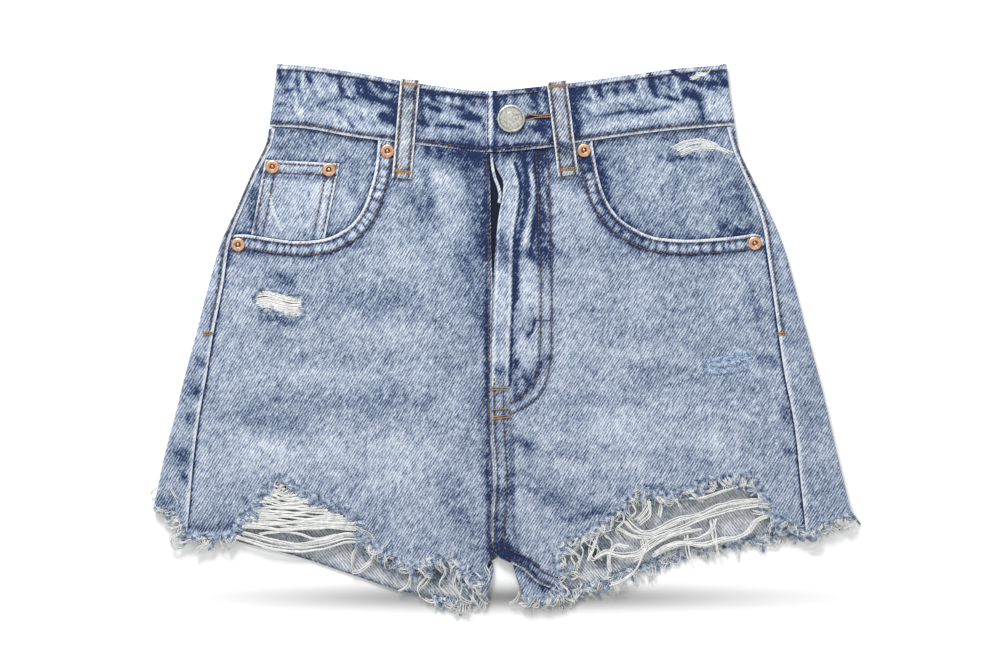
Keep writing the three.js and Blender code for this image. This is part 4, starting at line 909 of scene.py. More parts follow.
@dataclass(frozen=True)
class Denim:
    """Stone-washed twill: dark dye, pale weft and the worn places between.

    base is how pale it is without paint; turn, pitch and dash lay its ribs; twill and stone
    are the strength of its ribs and of its cloudy wash.
    """

    name: str
    base: float = 0.6
    turn: float = 58.0
    pitch: float = 1.75
    dash: float = 2.3
    twill: float = 0.52
    stone: float = 0.54
    dark: Shade = Shade(20, 37, 74)
    deep: Shade = Shade(58, 76, 109)
    middle: Shade = Shade(106, 119, 141)
    worn: Shade = Shade(142, 155, 175)
    pale: Shade = Shade(173, 184, 199)
    white: Shade = Shade(204, 210, 218)

    def build(self) -> Material:
        """Makes the material.

        Returns:
            The material.
        """
        g = Graph(self.name)
        place = g.place()
        turned = g.stretched(place, (1, 1, 1), -self.turn)
        along, across = g.part(turned, 0), g.part(turned, 1)
        bend = g.noise(place, 0.16, 2)
        line = (across * (2 * math.pi / self.pitch) + bend * 5).sine()
        dash = (along * (2 * math.pi / self.dash) + across * 4.1 + bend * 9).sine()
        weave = line * (0.6 + dash * 0.4)
        slub = g.noise(g.stretched(turned, (0.2, 1.2, 1.0)), 1.0, 2)
        pick = g.noise(g.stretched(place, (0.9, 0.3, 1.0)), 1.0, 2)
        cloud = g.noise(place, 0.034, 5, 0.62)
        blot = g.noise(place, 0.15, 4, 0.6)
        patch = g.noise(place, 0.26, 3, 0.65)
        grain = g.noise(place, 0.8, 2, 0.6)
        speck = g.noise(g.stretched(turned, (0.34, 0.7, 1.0)), 1.0, 2)
        # The wash attribute holds the dye's wash together with painted shade and highlight
        wash, bare = g.attribute("wash"), g.attribute("bare")
        uneven = ((patch - 0.5) * 3.4 + 0.5).clamped() * 1.15 + 0.45
        level = wash * uneven + self.base + (cloud - 0.5) * self.stone + (blot - 0.5) * self.stone
        level = level + (slub - 0.5) * 1.15 + (pick - 0.5) * 0.55 + (grain - 0.5) * 0.7
        level = level - ((speck - 0.56) * 7).clamped() * 0.13
        level = (level + (weave - 0.36) * self.twill).clamped()
        stops = (
            (0.0, self.dark), (0.2, self.deep), (0.42, self.middle), (0.62, self.worn),
            (0.82, self.pale), (1.0, self.white),
        )
        dye = g.node("ShaderNodeValToRGB", {"stops": stops}, {"Fac": level})
        yarn = g.noise(g.stretched(place, (0.12, 2.4, 1.0)), 1.0, 2)
        share = ((yarn - 0.5) * 2.4 + 0.5).clamped()
        cotton = g.blend(share, Shade(150, 162, 182), Shade(228, 230, 230))
        edge = ((bare - 0.5) * 2 + (blot - 0.5) * 1.8 + (yarn - 0.5) * 1.4 + 0.5).clamped()
        share = (edge * (bare * 4).clamped()).clamped()
        color = g.blend(share, dye, cotton)
        relief = weave * 0.5 + slub * 0.35 + grain * 0.25 + blot * 0.5
        rough = 0.82 + grain * 0.14
        extra = {"Sheen Weight": 0.08, "Sheen Roughness": 0.6, "Specular IOR Level": 0.2}
        return g.finish(color, rough, relief, 0.5, extra)


@dataclass(frozen=True)
class Yarn:
    """Cotton thread with a twist, in two shades."""

    name: str
    first: Shade
    second: Shade
    rough: float = 0.86
    spread: float = 2.2
    scale: float = 0.35

    def build(self) -> Material:
        """Makes the material.

        Returns:
            The material.
        """
        g = Graph(self.name)
        place = g.place()
        tone = g.noise(place, self.scale, 3, 0.6)
        twist = g.noise(place, 2.6, 2)
        share = ((tone - 0.5) * self.spread + 0.5).clamped()
        color = g.blend(share, self.first, self.second)
        extra = {"Specular IOR Level": 0.25, "Sheen Weight": 0.1}
        return g.finish(color, self.rough + twist * 0.1, twist, 0.2, extra)


@dataclass(frozen=True)
class Metal:
    """A worn plated trim, darker where its attribute says it is hollow."""

    name: str
    bright: Shade
    dull: Shade
    hollow: Shade
    rough: float

    def build(self) -> Material:
        """Makes the material.

        Returns:
            The material.
        """
        g = Graph(self.name)
        place = g.place()
        tarnish = g.noise(place, 0.6, 4, 0.65)
        scratch = g.noise(g.stretched(place, (4.0, 0.5, 1.0), 35), 1.0, 2)
        share = ((tarnish - 0.5) * 2.8 + 0.4).clamped()
        plated = g.blend(share, self.bright, self.dull)
        color = g.blend(g.attribute("hollow").clamped(), plated, self.hollow)
        rough = self.rough + (tarnish - 0.5) * 0.25 + scratch * 0.1
        relief = scratch * 0.5 + tarnish * 0.5
        return g.finish(color, rough, relief, 0.12, {"Metallic": 0.85})


@dataclass(frozen=True)
class Floor:
    """The plain pale surface that the shorts lie on, with a soft grey shadow painted on it below
    the hems.
    """

    name: str = "pale_floor"
    # middle and reach: centre and spread of the shadow painted on the floor below the hems, in mm
    middle: tuple[float, float] = (5.0, -184.0)
    reach: tuple[float, float] = (172.0, 9.4)

    def build(self) -> Material:
        """Makes the material, with a soft grey shadow painted on it below the hems.

        Returns:
            The material.
        """
        g = Graph(self.name)
        place = g.place()
        # Painted shadow: a soft grey band on the floor below the hems, darkest at middle
        away = []
        for k in (0, 1):
            off = (g.part(place, k) - self.middle[k]) / self.reach[k]
            away.append(off * off)
        shade = math.e ** (away[0] * -1.0 - away[1])
        fleck = g.noise(place, 0.05, 2)
        color = g.blend(fleck, Shade(250, 250, 250), Shade(252, 252, 252))
        # The painted shadow blends the floor's white towards grey
        color = g.blend(shade.clamped(), color, Shade(136, 136, 136))
        return g.finish(color, 0.9, fleck, 0.01, {"Specular IOR Level": 0.0})


class Finish(Enum):
    """Every finish on the shorts."""

    FRONT = Denim("denim_front_twill")
    BACK = Denim("denim_back_twill", base=0.58)
    BAND = Denim("denim_band_twill", base=0.54, stone=0.8, twill=0.5)
    LOOP = Denim(
        "denim_loop_twill", base=0.57, twill=0.6, stone=0.6, dark=Shade(34, 46, 74),
        deep=Shade(80, 92, 114), middle=Shade(122, 131, 146), worn=Shade(158, 165, 176),
        pale=Shade(188, 193, 200), white=Shade(214, 217, 221),
    )
    LINING = Denim(
        "denim_inside", base=0.7, turn=-52.0, twill=0.5, stone=0.3, dark=Shade(80, 90, 104),
        deep=Shade(104, 113, 126), middle=Shade(138, 145, 154), worn=Shade(166, 171, 178),
        pale=Shade(187, 191, 196), white=Shade(208, 211, 214),
    )
    WHITE = Yarn("bare_weft", Shade(200, 202, 200), Shade(237, 237, 234))
    BLUE = Yarn("blue_fuzz", Shade(68, 91, 127), Shade(192, 204, 219), spread=3.6, scale=0.3)
    SKY = Yarn("sky_blue_fuzz", Shade(116, 142, 176), Shade(198, 212, 230), spread=3.0, scale=0.4)
    BROWN = Yarn("brown_topstitch", Shade(42, 37, 42), Shade(122, 97, 83), spread=3.0)
    GOLD = Yarn("golden_bartack", Shade(146, 100, 52), Shade(194, 150, 92))
    # Nearly black: the tape's own navy darkened as painted shade of the fly's gap
    TAPE = Yarn("zip_tape_navy_and_gap_shade", Shade(5, 9, 20), Shade(16, 25, 48))
    COPPER = Metal(
        "worn_copper", Shade(246, 200, 164), Shade(176, 120, 84), Shade(78, 34, 16), 0.26
    )
    NICKEL = Metal(
        "tumbled_nickel", Shade(238, 237, 229), Shade(140, 139, 133), Shade(60, 59, 57), 0.22
    )


class Dye:
    """Builds each finish once and hands it out."""

    made: dict[str, Material] = {}

    @classmethod
    def of(cls, finish: Finish) -> Material:
        """The material of a finish.

        Args:
            finish: which one.

        Returns:
            The material.
        """
        if finish.name not in cls.made:
            cls.made[finish.name] = finish.value.build()
        return cls.made[finish.name]


# Meshes


def linked(name: str, data: bpy.types.ID) -> Piece:
    """An object for a mesh, a light or a camera, in the scene.

    Args:
        name: its name.
        data: what it shows.

    Returns:
        The object.
    """
    made = bpy.data.objects.new(name, data)
    bpy.context.scene.collection.objects.link(made)
    return made


@dataclass
class Shell:
    """A closed thin mesh in millimetres, with what is painted on its points."""

    points: Array
    faces: list[Sequence[int]]
    lined: Array
    # Per point: the dye's wash together with painted shade and highlight
    wash: Array
    bare: Array | None = None
    label: str = "wash"

    def make(self, name: str, finish: Finish, lining: Finish | None = None) -> Piece:
        """Turns the shell into an object.

        Args:
            name: the object's name.
            finish: the finish of its outer faces.
            lining: the finish of its lined faces.

        Returns:
            The object, at the origin.
        """
        mesh = bpy.data.meshes.new(name)
        mesh.from_pydata((self.points * MM).tolist(), [], [list(f) for f in self.faces])
        mesh.materials.append(Dye.of(finish))
        if lining:
            mesh.materials.append(Dye.of(lining))
            mesh.polygons.foreach_set("material_index", self.lined.astype(np.int32))
        for label, values in ((self.label, self.wash), ("bare", self.bare)):
            if values is not None:
                made = mesh.attributes.new(label, "FLOAT", "POINT")
                made.data.foreach_set("value", np.asarray(values, np.float32))
        mesh.shade_smooth()
        mesh.set_sharp_from_angle(angle=math.radians(58))
        mesh.validate()
        return linked(name, mesh)


def turned_out(points: Array, faces: list[Sequence[int]]) -> list[Sequence[int]]:
    """The faces of a closed mesh, turned so that they point out.

    Args:
        points: the mesh's points.
        faces: its faces.

    Returns:
        The faces.
    """
    volume = 0.0
    for face in faces[:: max(1, len(faces) // 200000)]:
        for k in range(1, len(face) - 1):
            a, b, c = points[face[0]], points[face[k]], points[face[k + 1]]
            volume += float(np.dot(a, np.cross(b, c)))
    return faces if volume > 0 else [tuple(reversed(face)) for face in faces]


def wall_between(outer: Array, inner: Array) -> tuple[Array, list, Array]:
    """A closed wall between two grids of points.

    Args:
        outer: rows by columns of points.
        inner: the same on the other face.

    Returns:
        Points, faces, and whether each face is an inner or rim one.
    """
    n, m = outer.shape[:2]
    points = np.vstack([outer.reshape(-1, 3), inner.reshape(-1, 3)])
    ids = np.arange(n * m).reshape(n, m)
    low = ids + n * m
    faces = []

    def quads(a: Array, b: Array, c: Array, d: Array) -> None:
        """Adds one face for each set of corners."""
        faces.extend(zip(*(corner.ravel().tolist() for corner in (a, b, c, d))))

    quads(ids[:-1, :-1], ids[1:, :-1], ids[1:, 1:], ids[:-1, 1:])
    outer_count = len(faces)
    quads(low[:-1, :-1], low[:-1, 1:], low[1:, 1:], low[1:, :-1])
    quads(ids[:-1, 0], low[:-1, 0], low[1:, 0], ids[1:, 0])
    quads(ids[:-1, -1], ids[1:, -1], low[1:, -1], low[:-1, -1])
    quads(ids[0, :-1], ids[0, 1:], low[0, 1:], low[0, :-1])
    quads(ids[-1, :-1], low[-1, :-1], low[-1, 1:], ids[-1, 1:])
    lined = np.arange(len(faces)) >= outer_count
    return points, turned_out(points, faces), lined


@dataclass
class Drape:
    """Cloth cut along outlines and laid over a height."""

    outline: Line
    top: Height
    wall: float = WALL
    step: float = EDGE_STEP
    holes: Sequence[Line] = ()
    cut_away: Sequence[Line] = ()
    ribs: Sequence[Line] = ()
    rim: float = 0.45
    paint: Paint | None = None

    def grid(self) -> Line:
        """Points inside the outline, in offset rows.

        Returns:
            The points.
        """
        low, high = self.outline.min(axis=0), self.outline.max(axis=0)
        ys = np.arange(low[1] + self.step / 2, high[1], self.step * 0.866)
        xs = np.arange(low[0], high[0], self.step)
        x, y = np.meshgrid(xs, ys)
        x = x + (np.arange(len(ys)) % 2)[:, None] * self.step / 2
        x, y = x.ravel(), y.ravel()
        keep = inside(self.outline, x, y)
        x, y = x[keep], y[keep]
        clear = np.full(len(x), np.inf)
        for edge in (self.outline, *self.holes, *self.cut_away, *self.ribs):
            for part in np.array_split(np.arange(len(x)), max(1, len(x) // 4000)):
                dx = x[part, None] - edge[None, :, 0]
                dy = y[part, None] - edge[None, :, 1]
                clear[part] = np.minimum(clear[part], np.sqrt((dx**2 + dy**2).min(axis=1)))
        keep = clear > self.step * 0.62
        return stack(x[keep], y[keep])

    def rib_points(self, loops: Sequence[Line]) -> list[Line]:
        """The points of the ribs that stand clear of the edges and of one another.

        Args:
            loops: the closed edges.

        Returns:
            What is left of each rib.
        """
        kept: list[Line] = []
        for rib in self.ribs:
            clear = inside(self.outline, rib[:, 0], rib[:, 1])
            for other in (*loops, *kept):
                away = rib[:, None, :] - other[None, :, :]
                clear &= np.sqrt((away**2).sum(axis=2).min(axis=1)) > 0.45
            kept.append(rib[clear])
        return [rib for rib in kept if len(rib)]

    def shell(self) -> Shell:
        """The closed cloth.

        Returns:
            The cloth with its paint.
        """
        loops = [self.outline, *self.holes, *self.cut_away]
        flat = np.vstack([*loops, *self.rib_points(loops), self.grid()])
        edges, start = [], 0
        for loop in loops:
            n = len(loop)
            edges += [(start + k, start + (k + 1) % n) for k in range(n)]
            start += n
        made = delaunay_2d_cdt([Vector(p) for p in flat.tolist()], edges, [], 0, 1e-5)
        xy = np.array([tuple(v) for v in made[0]])
        faces = np.array(made[2])
        middle = xy[faces].mean(axis=1)
        kept = inside(self.outline, middle[:, 0], middle[:, 1])
        for loop in (*self.holes, *self.cut_away):
            kept &= ~inside(loop, middle[:, 0], middle[:, 1])
        faces = faces[kept]
        a, b, c = xy[faces[:, 0]], xy[faces[:, 1]], xy[faces[:, 2]]
        turn = (b[:, 0] - a[:, 0]) * (c[:, 1] - a[:, 1]) - (b[:, 1] - a[:, 1]) * (c[:, 0] - a[:, 0])
        faces[turn < 0] = faces[turn < 0][:, ::-1]
        faces = faces[np.abs(turn) > 1e-6]
        used, index = np.unique(faces, return_inverse=True)
        faces, xy = index.reshape(-1, 3), xy[used]
        x, y = xy[:, 0], xy[:, 1]
        n = len(xy)
        sides = np.vstack([faces[:, [0, 1]], faces[:, [1, 2]], faces[:, [2, 0]]])
        ring = dict.fromkeys(map(tuple, sides.tolist()))
        border = [(p, q) for p, q in ring if (q, p) not in ring]
        z = self.top(x, y)
        on_edge = np.unique(np.array(border).ravel())
        drop = np.zeros(n)
        drop[on_edge] = self.rim
        top = stack(x, y, z - drop)
        low = stack(x, y, z - self.wall + drop * 0.3)
        points = np.vstack([top, low])
        every = [tuple(f) for f in faces.tolist()]
        every += [(f[2] + n, f[1] + n, f[0] + n) for f in faces.tolist()]
        every += [(q, p, p + n, q + n) for p, q in border]
        lined = np.arange(len(every)) >= len(faces)
        wash, bare = self.paint(x, y) if self.paint else (np.zeros(n), np.zeros(n))
        return Shell(points, every, lined, np.tile(wash, 2), np.tile(bare, 2))


def joined(*parts: Line) -> Line:
    """Chains of points joined into an outline, without points that nearly coincide.

    Args:
        parts: the chains in order.

    Returns:
        The outline.
    """
    chain = np.vstack([part[:, :2] for part in parts])
    gap = np.linalg.norm(chain - np.roll(chain, 1, axis=0), axis=1)
    return chain[gap > 0.35]


def lathe(profile: Table, spokes: int, at: Sequence[float]) -> Shell:
    """A turned trim.

    Args:
        profile: radius, height and how hollow, from the axis below to the axis above.
        spokes: points round it.
        at: its foot.

    Returns:
        The closed mesh, painted dark in its hollows.
    """
    rings = np.array(profile, float)
    turn = np.linspace(0, 2 * math.pi, spokes, endpoint=False)
    body = rings[1:-1]
    x = at[0] + body[:, 0, None] * np.cos(turn)
    y = at[1] + body[:, 0, None] * np.sin(turn)
    z = at[2] + np.repeat(body[:, 1, None], spokes, axis=1)
    points = np.stack([x, y, z], axis=2).reshape(-1, 3)
    ends = np.array([(at[0], at[1], at[2] + rings[k, 1]) for k in (0, -1)])
    n = len(points)
    faces: list[Sequence[int]] = []
    for r in range(len(body) - 1):
        for s in range(spokes):
            t = (s + 1) % spokes
            low, high = r * spokes, (r + 1) * spokes
            faces.append((low + s, low + t, high + t, high + s))
    last = (len(body) - 1) * spokes
    for s in range(spokes):
        t = (s + 1) % spokes
        faces.append((n, t, s))
        faces.append((n + 1, last + s, last + t))
    hollow = np.concatenate([np.repeat(body[:, 2], spokes), rings[[0, -1], 2]])
    points = np.vstack([points, ends])
    faces = turned_out(points - points.mean(axis=0), faces)
    return Shell(points, faces, np.zeros(len(faces), bool), hollow, label="hollow")


# Geometry Nodes


class Weaver(Nodes):
    """A Geometry Nodes tree that turns guide lines into threads."""

    def __init__(self, name: str, sizes: dict[str, float]) -> None:
        """Starts a tree.

        Args:
            name: the tree's name.
            sizes: its named inputs and their first values, in metres.
        """
        super().__init__(bpy.data.node_groups.new(name, "GeometryNodeTree"))
        face = self.tree.interface
        face.new_socket("Geometry", in_out="INPUT", socket_type="NodeSocketGeometry")
        face.new_socket("Geometry", in_out="OUTPUT", socket_type="NodeSocketGeometry")
        for label, value in sizes.items():
            kind = "NodeSocketInt" if label in ("Seed", "Count") else "NodeSocketFloat"
            face.new_socket(label, in_out="INPUT", socket_type=kind).default_value = value
        face.new_socket("Material", in_out="INPUT", socket_type="NodeSocketMaterial")
        self.source = self.tree.nodes.new("NodeGroupInput")
        self.end = self.tree.nodes.new("NodeGroupOutput")

    def input(self, label: str) -> Socket:
        """One of the tree's named inputs."""
        return self.source.outputs[label]

    def math(self, operation: str, *values: object) -> Socket:
        """A Math node."""
        return self.add("ShaderNodeMath", {"operation": operation}, dict(enumerate(values)))

    def vector(self, operation: str, first: object, second: object) -> Socket:
        """A Vector Math node."""
        key = "Scale" if operation == "SCALE" else 1
        return self.add("ShaderNodeVectorMath", {"operation": operation}, {0: first, key: second})

    def xyz(self, *parts: object) -> Socket:
        """A vector from its three parts."""
        return self.add("ShaderNodeCombineXYZ", {}, dict(enumerate(parts)))

    def drawn(self, low: object, high: object, seed: object, **more: object) -> Socket:
        """A vector drawn for each element between two corners."""
        values = {"Min": low, "Max": high, "Seed": seed, **more}
        return self.add("FunctionNodeRandomValue", {"data_type": "FLOAT_VECTOR"}, values, "Value")

    def guides(self, step: object) -> Socket:
        """The host's edges as curves with points a step apart.

        Args:
            step: how far, as a number or a link.

        Returns:
            The curves.
        """
        lines = self.add("GeometryNodeMeshToCurve", {}, {0: self.input("Geometry")})
        values = {"Curve": lines, "Length": step}
        return self.add("GeometryNodeResampleCurve", {"mode": "LENGTH"}, values)

    def spots(self, step: object) -> tuple[Socket, Socket]:
        """Points a step apart along the guides, and the direction of the guide at each.

        Args:
            step: how far, as a number or a link.

        Returns:
            The points and the directions.
        """
        lines = {0: self.guides(step)}
        points = self.add("GeometryNodeCurveToPoints", {"mode": "EVALUATED"}, lines)
        return points, points.node.outputs["Tangent"]

    def tube(self, path: Socket, sides: int, radius: object, **more: object) -> Socket:
        """A closed round thread along curves.

        Args:
            path: the curves.
            sides: how many sides the thread has.
            radius: its radius.
            more: other values of the mesh-making node.

        Returns:
            The thread's geometry.
        """
        values = {"Resolution": sides, "Radius": radius}
        ring = self.add("GeometryNodeCurvePrimitiveCircle", {}, values)
        values = {"Curve": path, "Profile Curve": ring, "Fill Caps": True, **more}
        return self.add("GeometryNodeCurveToMesh", {}, values)

    def sown(self, points: Socket, form: Socket, aim: Socket, swing: Socket) -> Socket:
        """A form set on points.

        Args:
            points: where it goes.
            form: what goes there, drawn along X.
            aim: where its X axis points.
            swing: how far each one is turned from there.

        Returns:
            The instances.
        """
        along = self.add("FunctionNodeAlignRotationToVector", {"axis": "X"}, {"Vector": aim})
        values = {"Points": points, "Instance": form, "Rotation": along}
        placed = self.add("GeometryNodeInstanceOnPoints", {}, values)
        euler = self.add("FunctionNodeEulerToRotation", {}, {0: swing})
        values = {"Instances": placed, "Rotation": euler}
        return self.add("GeometryNodeRotateInstances", {}, values)

    def close(self, geometry: Socket) -> bpy.types.NodeTree:
        """Ends the tree: real geometry, kept above the floor, smooth, with its material.

        Args:
            geometry: what the tree has made.

        Returns:
            The tree.
        """
        real = self.add("GeometryNodeRealizeInstances", {}, {0: geometry})
        place = self.add("GeometryNodeInputPosition")
        x, y, z = self.add("ShaderNodeSeparateXYZ", {}, {0: place}).node.outputs
        above = self.xyz(x, y, self.math("MAXIMUM", z, FLOOR_GAP))
        rested = self.add("GeometryNodeSetPosition", {}, {"Geometry": real, "Position": above})
        soft = self.add("GeometryNodeSetShadeSmooth", {}, {0: rested})
        values = {"Geometry": soft, "Material": self.input("Material")}
        dressed = self.add("GeometryNodeSetMaterial", {}, values)
        self.tree.links.new(dressed, self.end.inputs[0])
        return self.tree


def stitch_tree() -> bpy.types.NodeTree:
    """Short stitches that sit end to end along guide lines.

    Returns:
        The tree.
    """
    w = Weaver("stitches", {"Pitch": 0.0032, "Length": 0.0025, "Thickness": 0.0006, "Seed": 1})
    points, tangent = w.spots(w.input("Pitch"))
    ball = w.add("GeometryNodeMeshUVSphere", {}, {"Segments": 6, "Rings": 5, "Radius": 0.5})
    long = w.xyz(w.input("Length"), w.input("Thickness"), w.input("Thickness"))
    stitch = w.add("GeometryNodeTransform", {}, {"Geometry": ball, "Scale": long})
    swing = w.drawn((-0.05, -0.06, -0.12), (0.05, 0.06, 0.12), w.input("Seed"))
    return w.close(w.sown(points, stitch, tangent, swing))


def strand_tree() -> bpy.types.NodeTree:
    """Several wavy threads that follow each guide line.

    Returns:
        The tree.
    """
    sizes = dict(zip(STRAND_SIZES, (3, 0.001, 0.0004, 0.0008, 0.0003)), Seed=1)
    w = Weaver("strands", sizes)
    values = {"Geometry": w.guides(0.0016), "Amount": w.input("Count")}
    copies = w.add("GeometryNodeDuplicateElements", {"domain": "SPLINE"}, values)
    index = w.add("GeometryNodeInputIndex")
    drawn = w.drawn((-1.0, -1.0, -1.0), (1.0, 1.0, 1.0), w.input("Seed"), ID=index)
    settings = {"domain": "CURVE", "data_type": "FLOAT_VECTOR"}
    own = w.add("GeometryNodeFieldOnDomain", settings, {0: drawn})
    size = w.xyz(w.input("Spread"), w.input("Spread"), w.input("Rise"))
    offset = w.vector("MULTIPLY", own, size)
    place = w.add("GeometryNodeInputPosition")
    apart = w.vector("ADD", w.vector("SCALE", place, 110.0), w.vector("SCALE", own, 40.0))
    values = {"Vector": apart, "Scale": 1.0, "Detail": 1.0}
    noise = w.add("ShaderNodeTexNoise", {}, values, "Color")
    swing = w.xyz(w.input("Wave"), w.input("Wave"), w.math("MULTIPLY", w.input("Wave"), 0.4))
    sway = w.vector("MULTIPLY", w.vector("SUBTRACT", noise, (0.5, 0.5, 0.5)), swing)
    offset = w.vector("ADD", offset, w.vector("SCALE", sway, 2.0))
    moved = w.add("GeometryNodeSetPosition", {}, {"Geometry": copies, "Offset": offset})
    return w.close(w.tube(moved, 5, w.input("Radius")))


def tuft_tree() -> bpy.types.NodeTree:
    """Short bent fibres that grow from guide lines, to their right.

    Returns:
        The tree.
    """
    sizes = {
        "Spacing": 0.0008, "Length": 0.005, "Radius": 0.00018, "Bend": 0.5, "Fan": 0.7,
        "Lift": 0.5, "Shift": 0.0008, "Seed": 1,
    }
    w = Weaver("tufts", sizes)
    points, tangent = w.spots(w.input("Spacing"))
    ends = {"Start": (0.0, 0.0, 0.0), "End": (1.0, 0.0, 0.0)}
    straight = w.add("GeometryNodeCurvePrimitiveLine", {}, ends)
    values = {"Curve": straight, "Count": 6}
    fibre = w.add("GeometryNodeResampleCurve", {"mode": "COUNT"}, values)
    factor = w.add("GeometryNodeSplineParameter", {}, {}, "Factor")
    bow = w.math("MULTIPLY", w.math("POWER", factor, 2.0), w.input("Bend"))
    bent = w.xyz(w.math("MULTIPLY", bow, -0.35), bow, 0.0)
    fibre = w.add("GeometryNodeSetPosition", {}, {"Geometry": fibre, "Offset": bent})
    thin = w.math("SUBTRACT", 1.0, w.math("MULTIPLY", factor, 0.7))
    fibre = w.add("GeometryNodeSetCurveRadius", {}, {"Curve": fibre, "Radius": thin})
    hair = w.tube(fibre, 3, w.math("DIVIDE", w.input("Radius"), w.input("Length")), Scale=thin)
    high = w.xyz(3.1, w.input("Lift"), w.input("Fan"))
    spin = w.drawn(w.vector("SCALE", high, -1.0), high, w.input("Seed"))
    outward = w.vector("CROSS_PRODUCT", tangent, (0.0, 0.0, 1.0))
    turned = w.sown(points, hair, outward, spin)
    values = {"Min": 0.4, "Max": 1.35, "Seed": w.math("ADD", w.input("Seed"), 5.0)}
    share = w.add("FunctionNodeRandomValue", {"data_type": "FLOAT"}, values, "Value")
    size = w.math("MULTIPLY", share, w.input("Length"))
    grown = w.add("GeometryNodeScaleInstances", {}, {"Instances": turned, "Scale": size})
    shift = w.xyz(w.input("Shift"), w.input("Shift"), 0.0)
    moved = w.drawn(w.vector("SCALE", shift, -1.0), shift, w.math("ADD", w.input("Seed"), 9.0))
    values = {"Instances": grown, "Translation": moved, "Local Space": False}
    return w.close(w.add("GeometryNodeTranslateInstances", {}, values))


class Craft(Enum):
    """The kinds of thread work."""

    STITCHES = "stitches"
    STRANDS = "strands"
    TUFTS = "tufts"


class Needle:
    """Runs thread trees over guide lines and keeps the result as plain meshes."""

    def __init__(self) -> None:
        """Builds the trees."""
        self.trees = {
            Craft.STITCHES: stitch_tree(), Craft.STRANDS: strand_tree(), Craft.TUFTS: tuft_tree(),
        }

    def sew(
        self, name: str, craft: Craft, guides: Sequence[Line], finish: Finish,
        sizes: dict[str, float],
    ) -> Piece:
        """Makes one piece of thread work.

        Args:
            name: the piece's name.
            craft: the kind of work.
            guides: lines of points in millimetres, with heights.
            finish: the thread's finish.
            sizes: the tree's named inputs, in metres.

        Returns:
            The piece as a plain mesh at the origin.
        """
        points, edges = [], []
        for guide in guides:
            start = len(points)
            points += (guide * MM).tolist()
            edges += [(start + k, start + k + 1) for k in range(len(guide) - 1)]
        lines = bpy.data.meshes.new(f"{name}_guides")
        lines.from_pydata(points, edges, [])
        host = linked(lines.name, lines)
        modifier = host.modifiers.new("threads", "NODES")
        modifier.node_group = self.trees[craft]
        wanted = {**sizes, "Material": Dye.of(finish)}
        for item in self.trees[craft].interface.items_tree:
            if item.in_out == "INPUT" and item.name in wanted:
                modifier[item.identifier] = wanted[item.name]
        bpy.context.view_layer.update()
        graph = bpy.context.evaluated_depsgraph_get()
        mesh = bpy.data.meshes.new_from_object(host.evaluated_get(graph), depsgraph=graph)
        mesh.name = name
        host.modifiers.remove(modifier)
        bpy.data.objects.remove(host)
        return linked(name, mesh)


def lifted(path: Line, height: Height | float, proud: float = 0.0) -> Line:
    """A flat path put on a height.

    Args:
        path: its points.
        height: one height, or a function of x and y.
        proud: how far above it.

    Returns:
        The path with heights.
    """
    x, y = path[:, 0], path[:, 1]
    z = np.full(len(path), float(height)) if isinstance(height, (int, float)) else height(x, y)
    return stack(x, y, z + proud)


def dress(
    made: Piece,
    slot: str,
    *nodes: str,
    cut: tuple[float, float, float] | None = None,
    carried: Sequence[Piece] = (),
) -> Piece:
    """Ties a piece to the frame.

    Args:
        made: the piece.
        slot: the record's slot; not used.
        nodes: the CAD nodes that it stands for.
        cut: width, length and area in metres of a piece of cloth; not used.
        carried: narrow pieces of cloth that lie with it; not used.

    Returns:
        The piece.
    """
    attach(made, "root")
    if nodes:
        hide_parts(*nodes)
    LOG.info("%s: %d faces", made.name, len(made.data.polygons))
    return made


# The sub-assemblies


@dataclass
class Seam:
    """A row of topstitching: its path, its side offsets, and the height that it lies on."""

    path: Line
    offsets: Sequence[float]
    height: Height
    gold: bool = False

    def lines(self) -> list[Line]:
        """The stitch lines."""
        rows = [shifted(self.path, offset) for offset in self.offsets]
        return [lifted(row, self.height, STITCH_RISE) for row in rows]


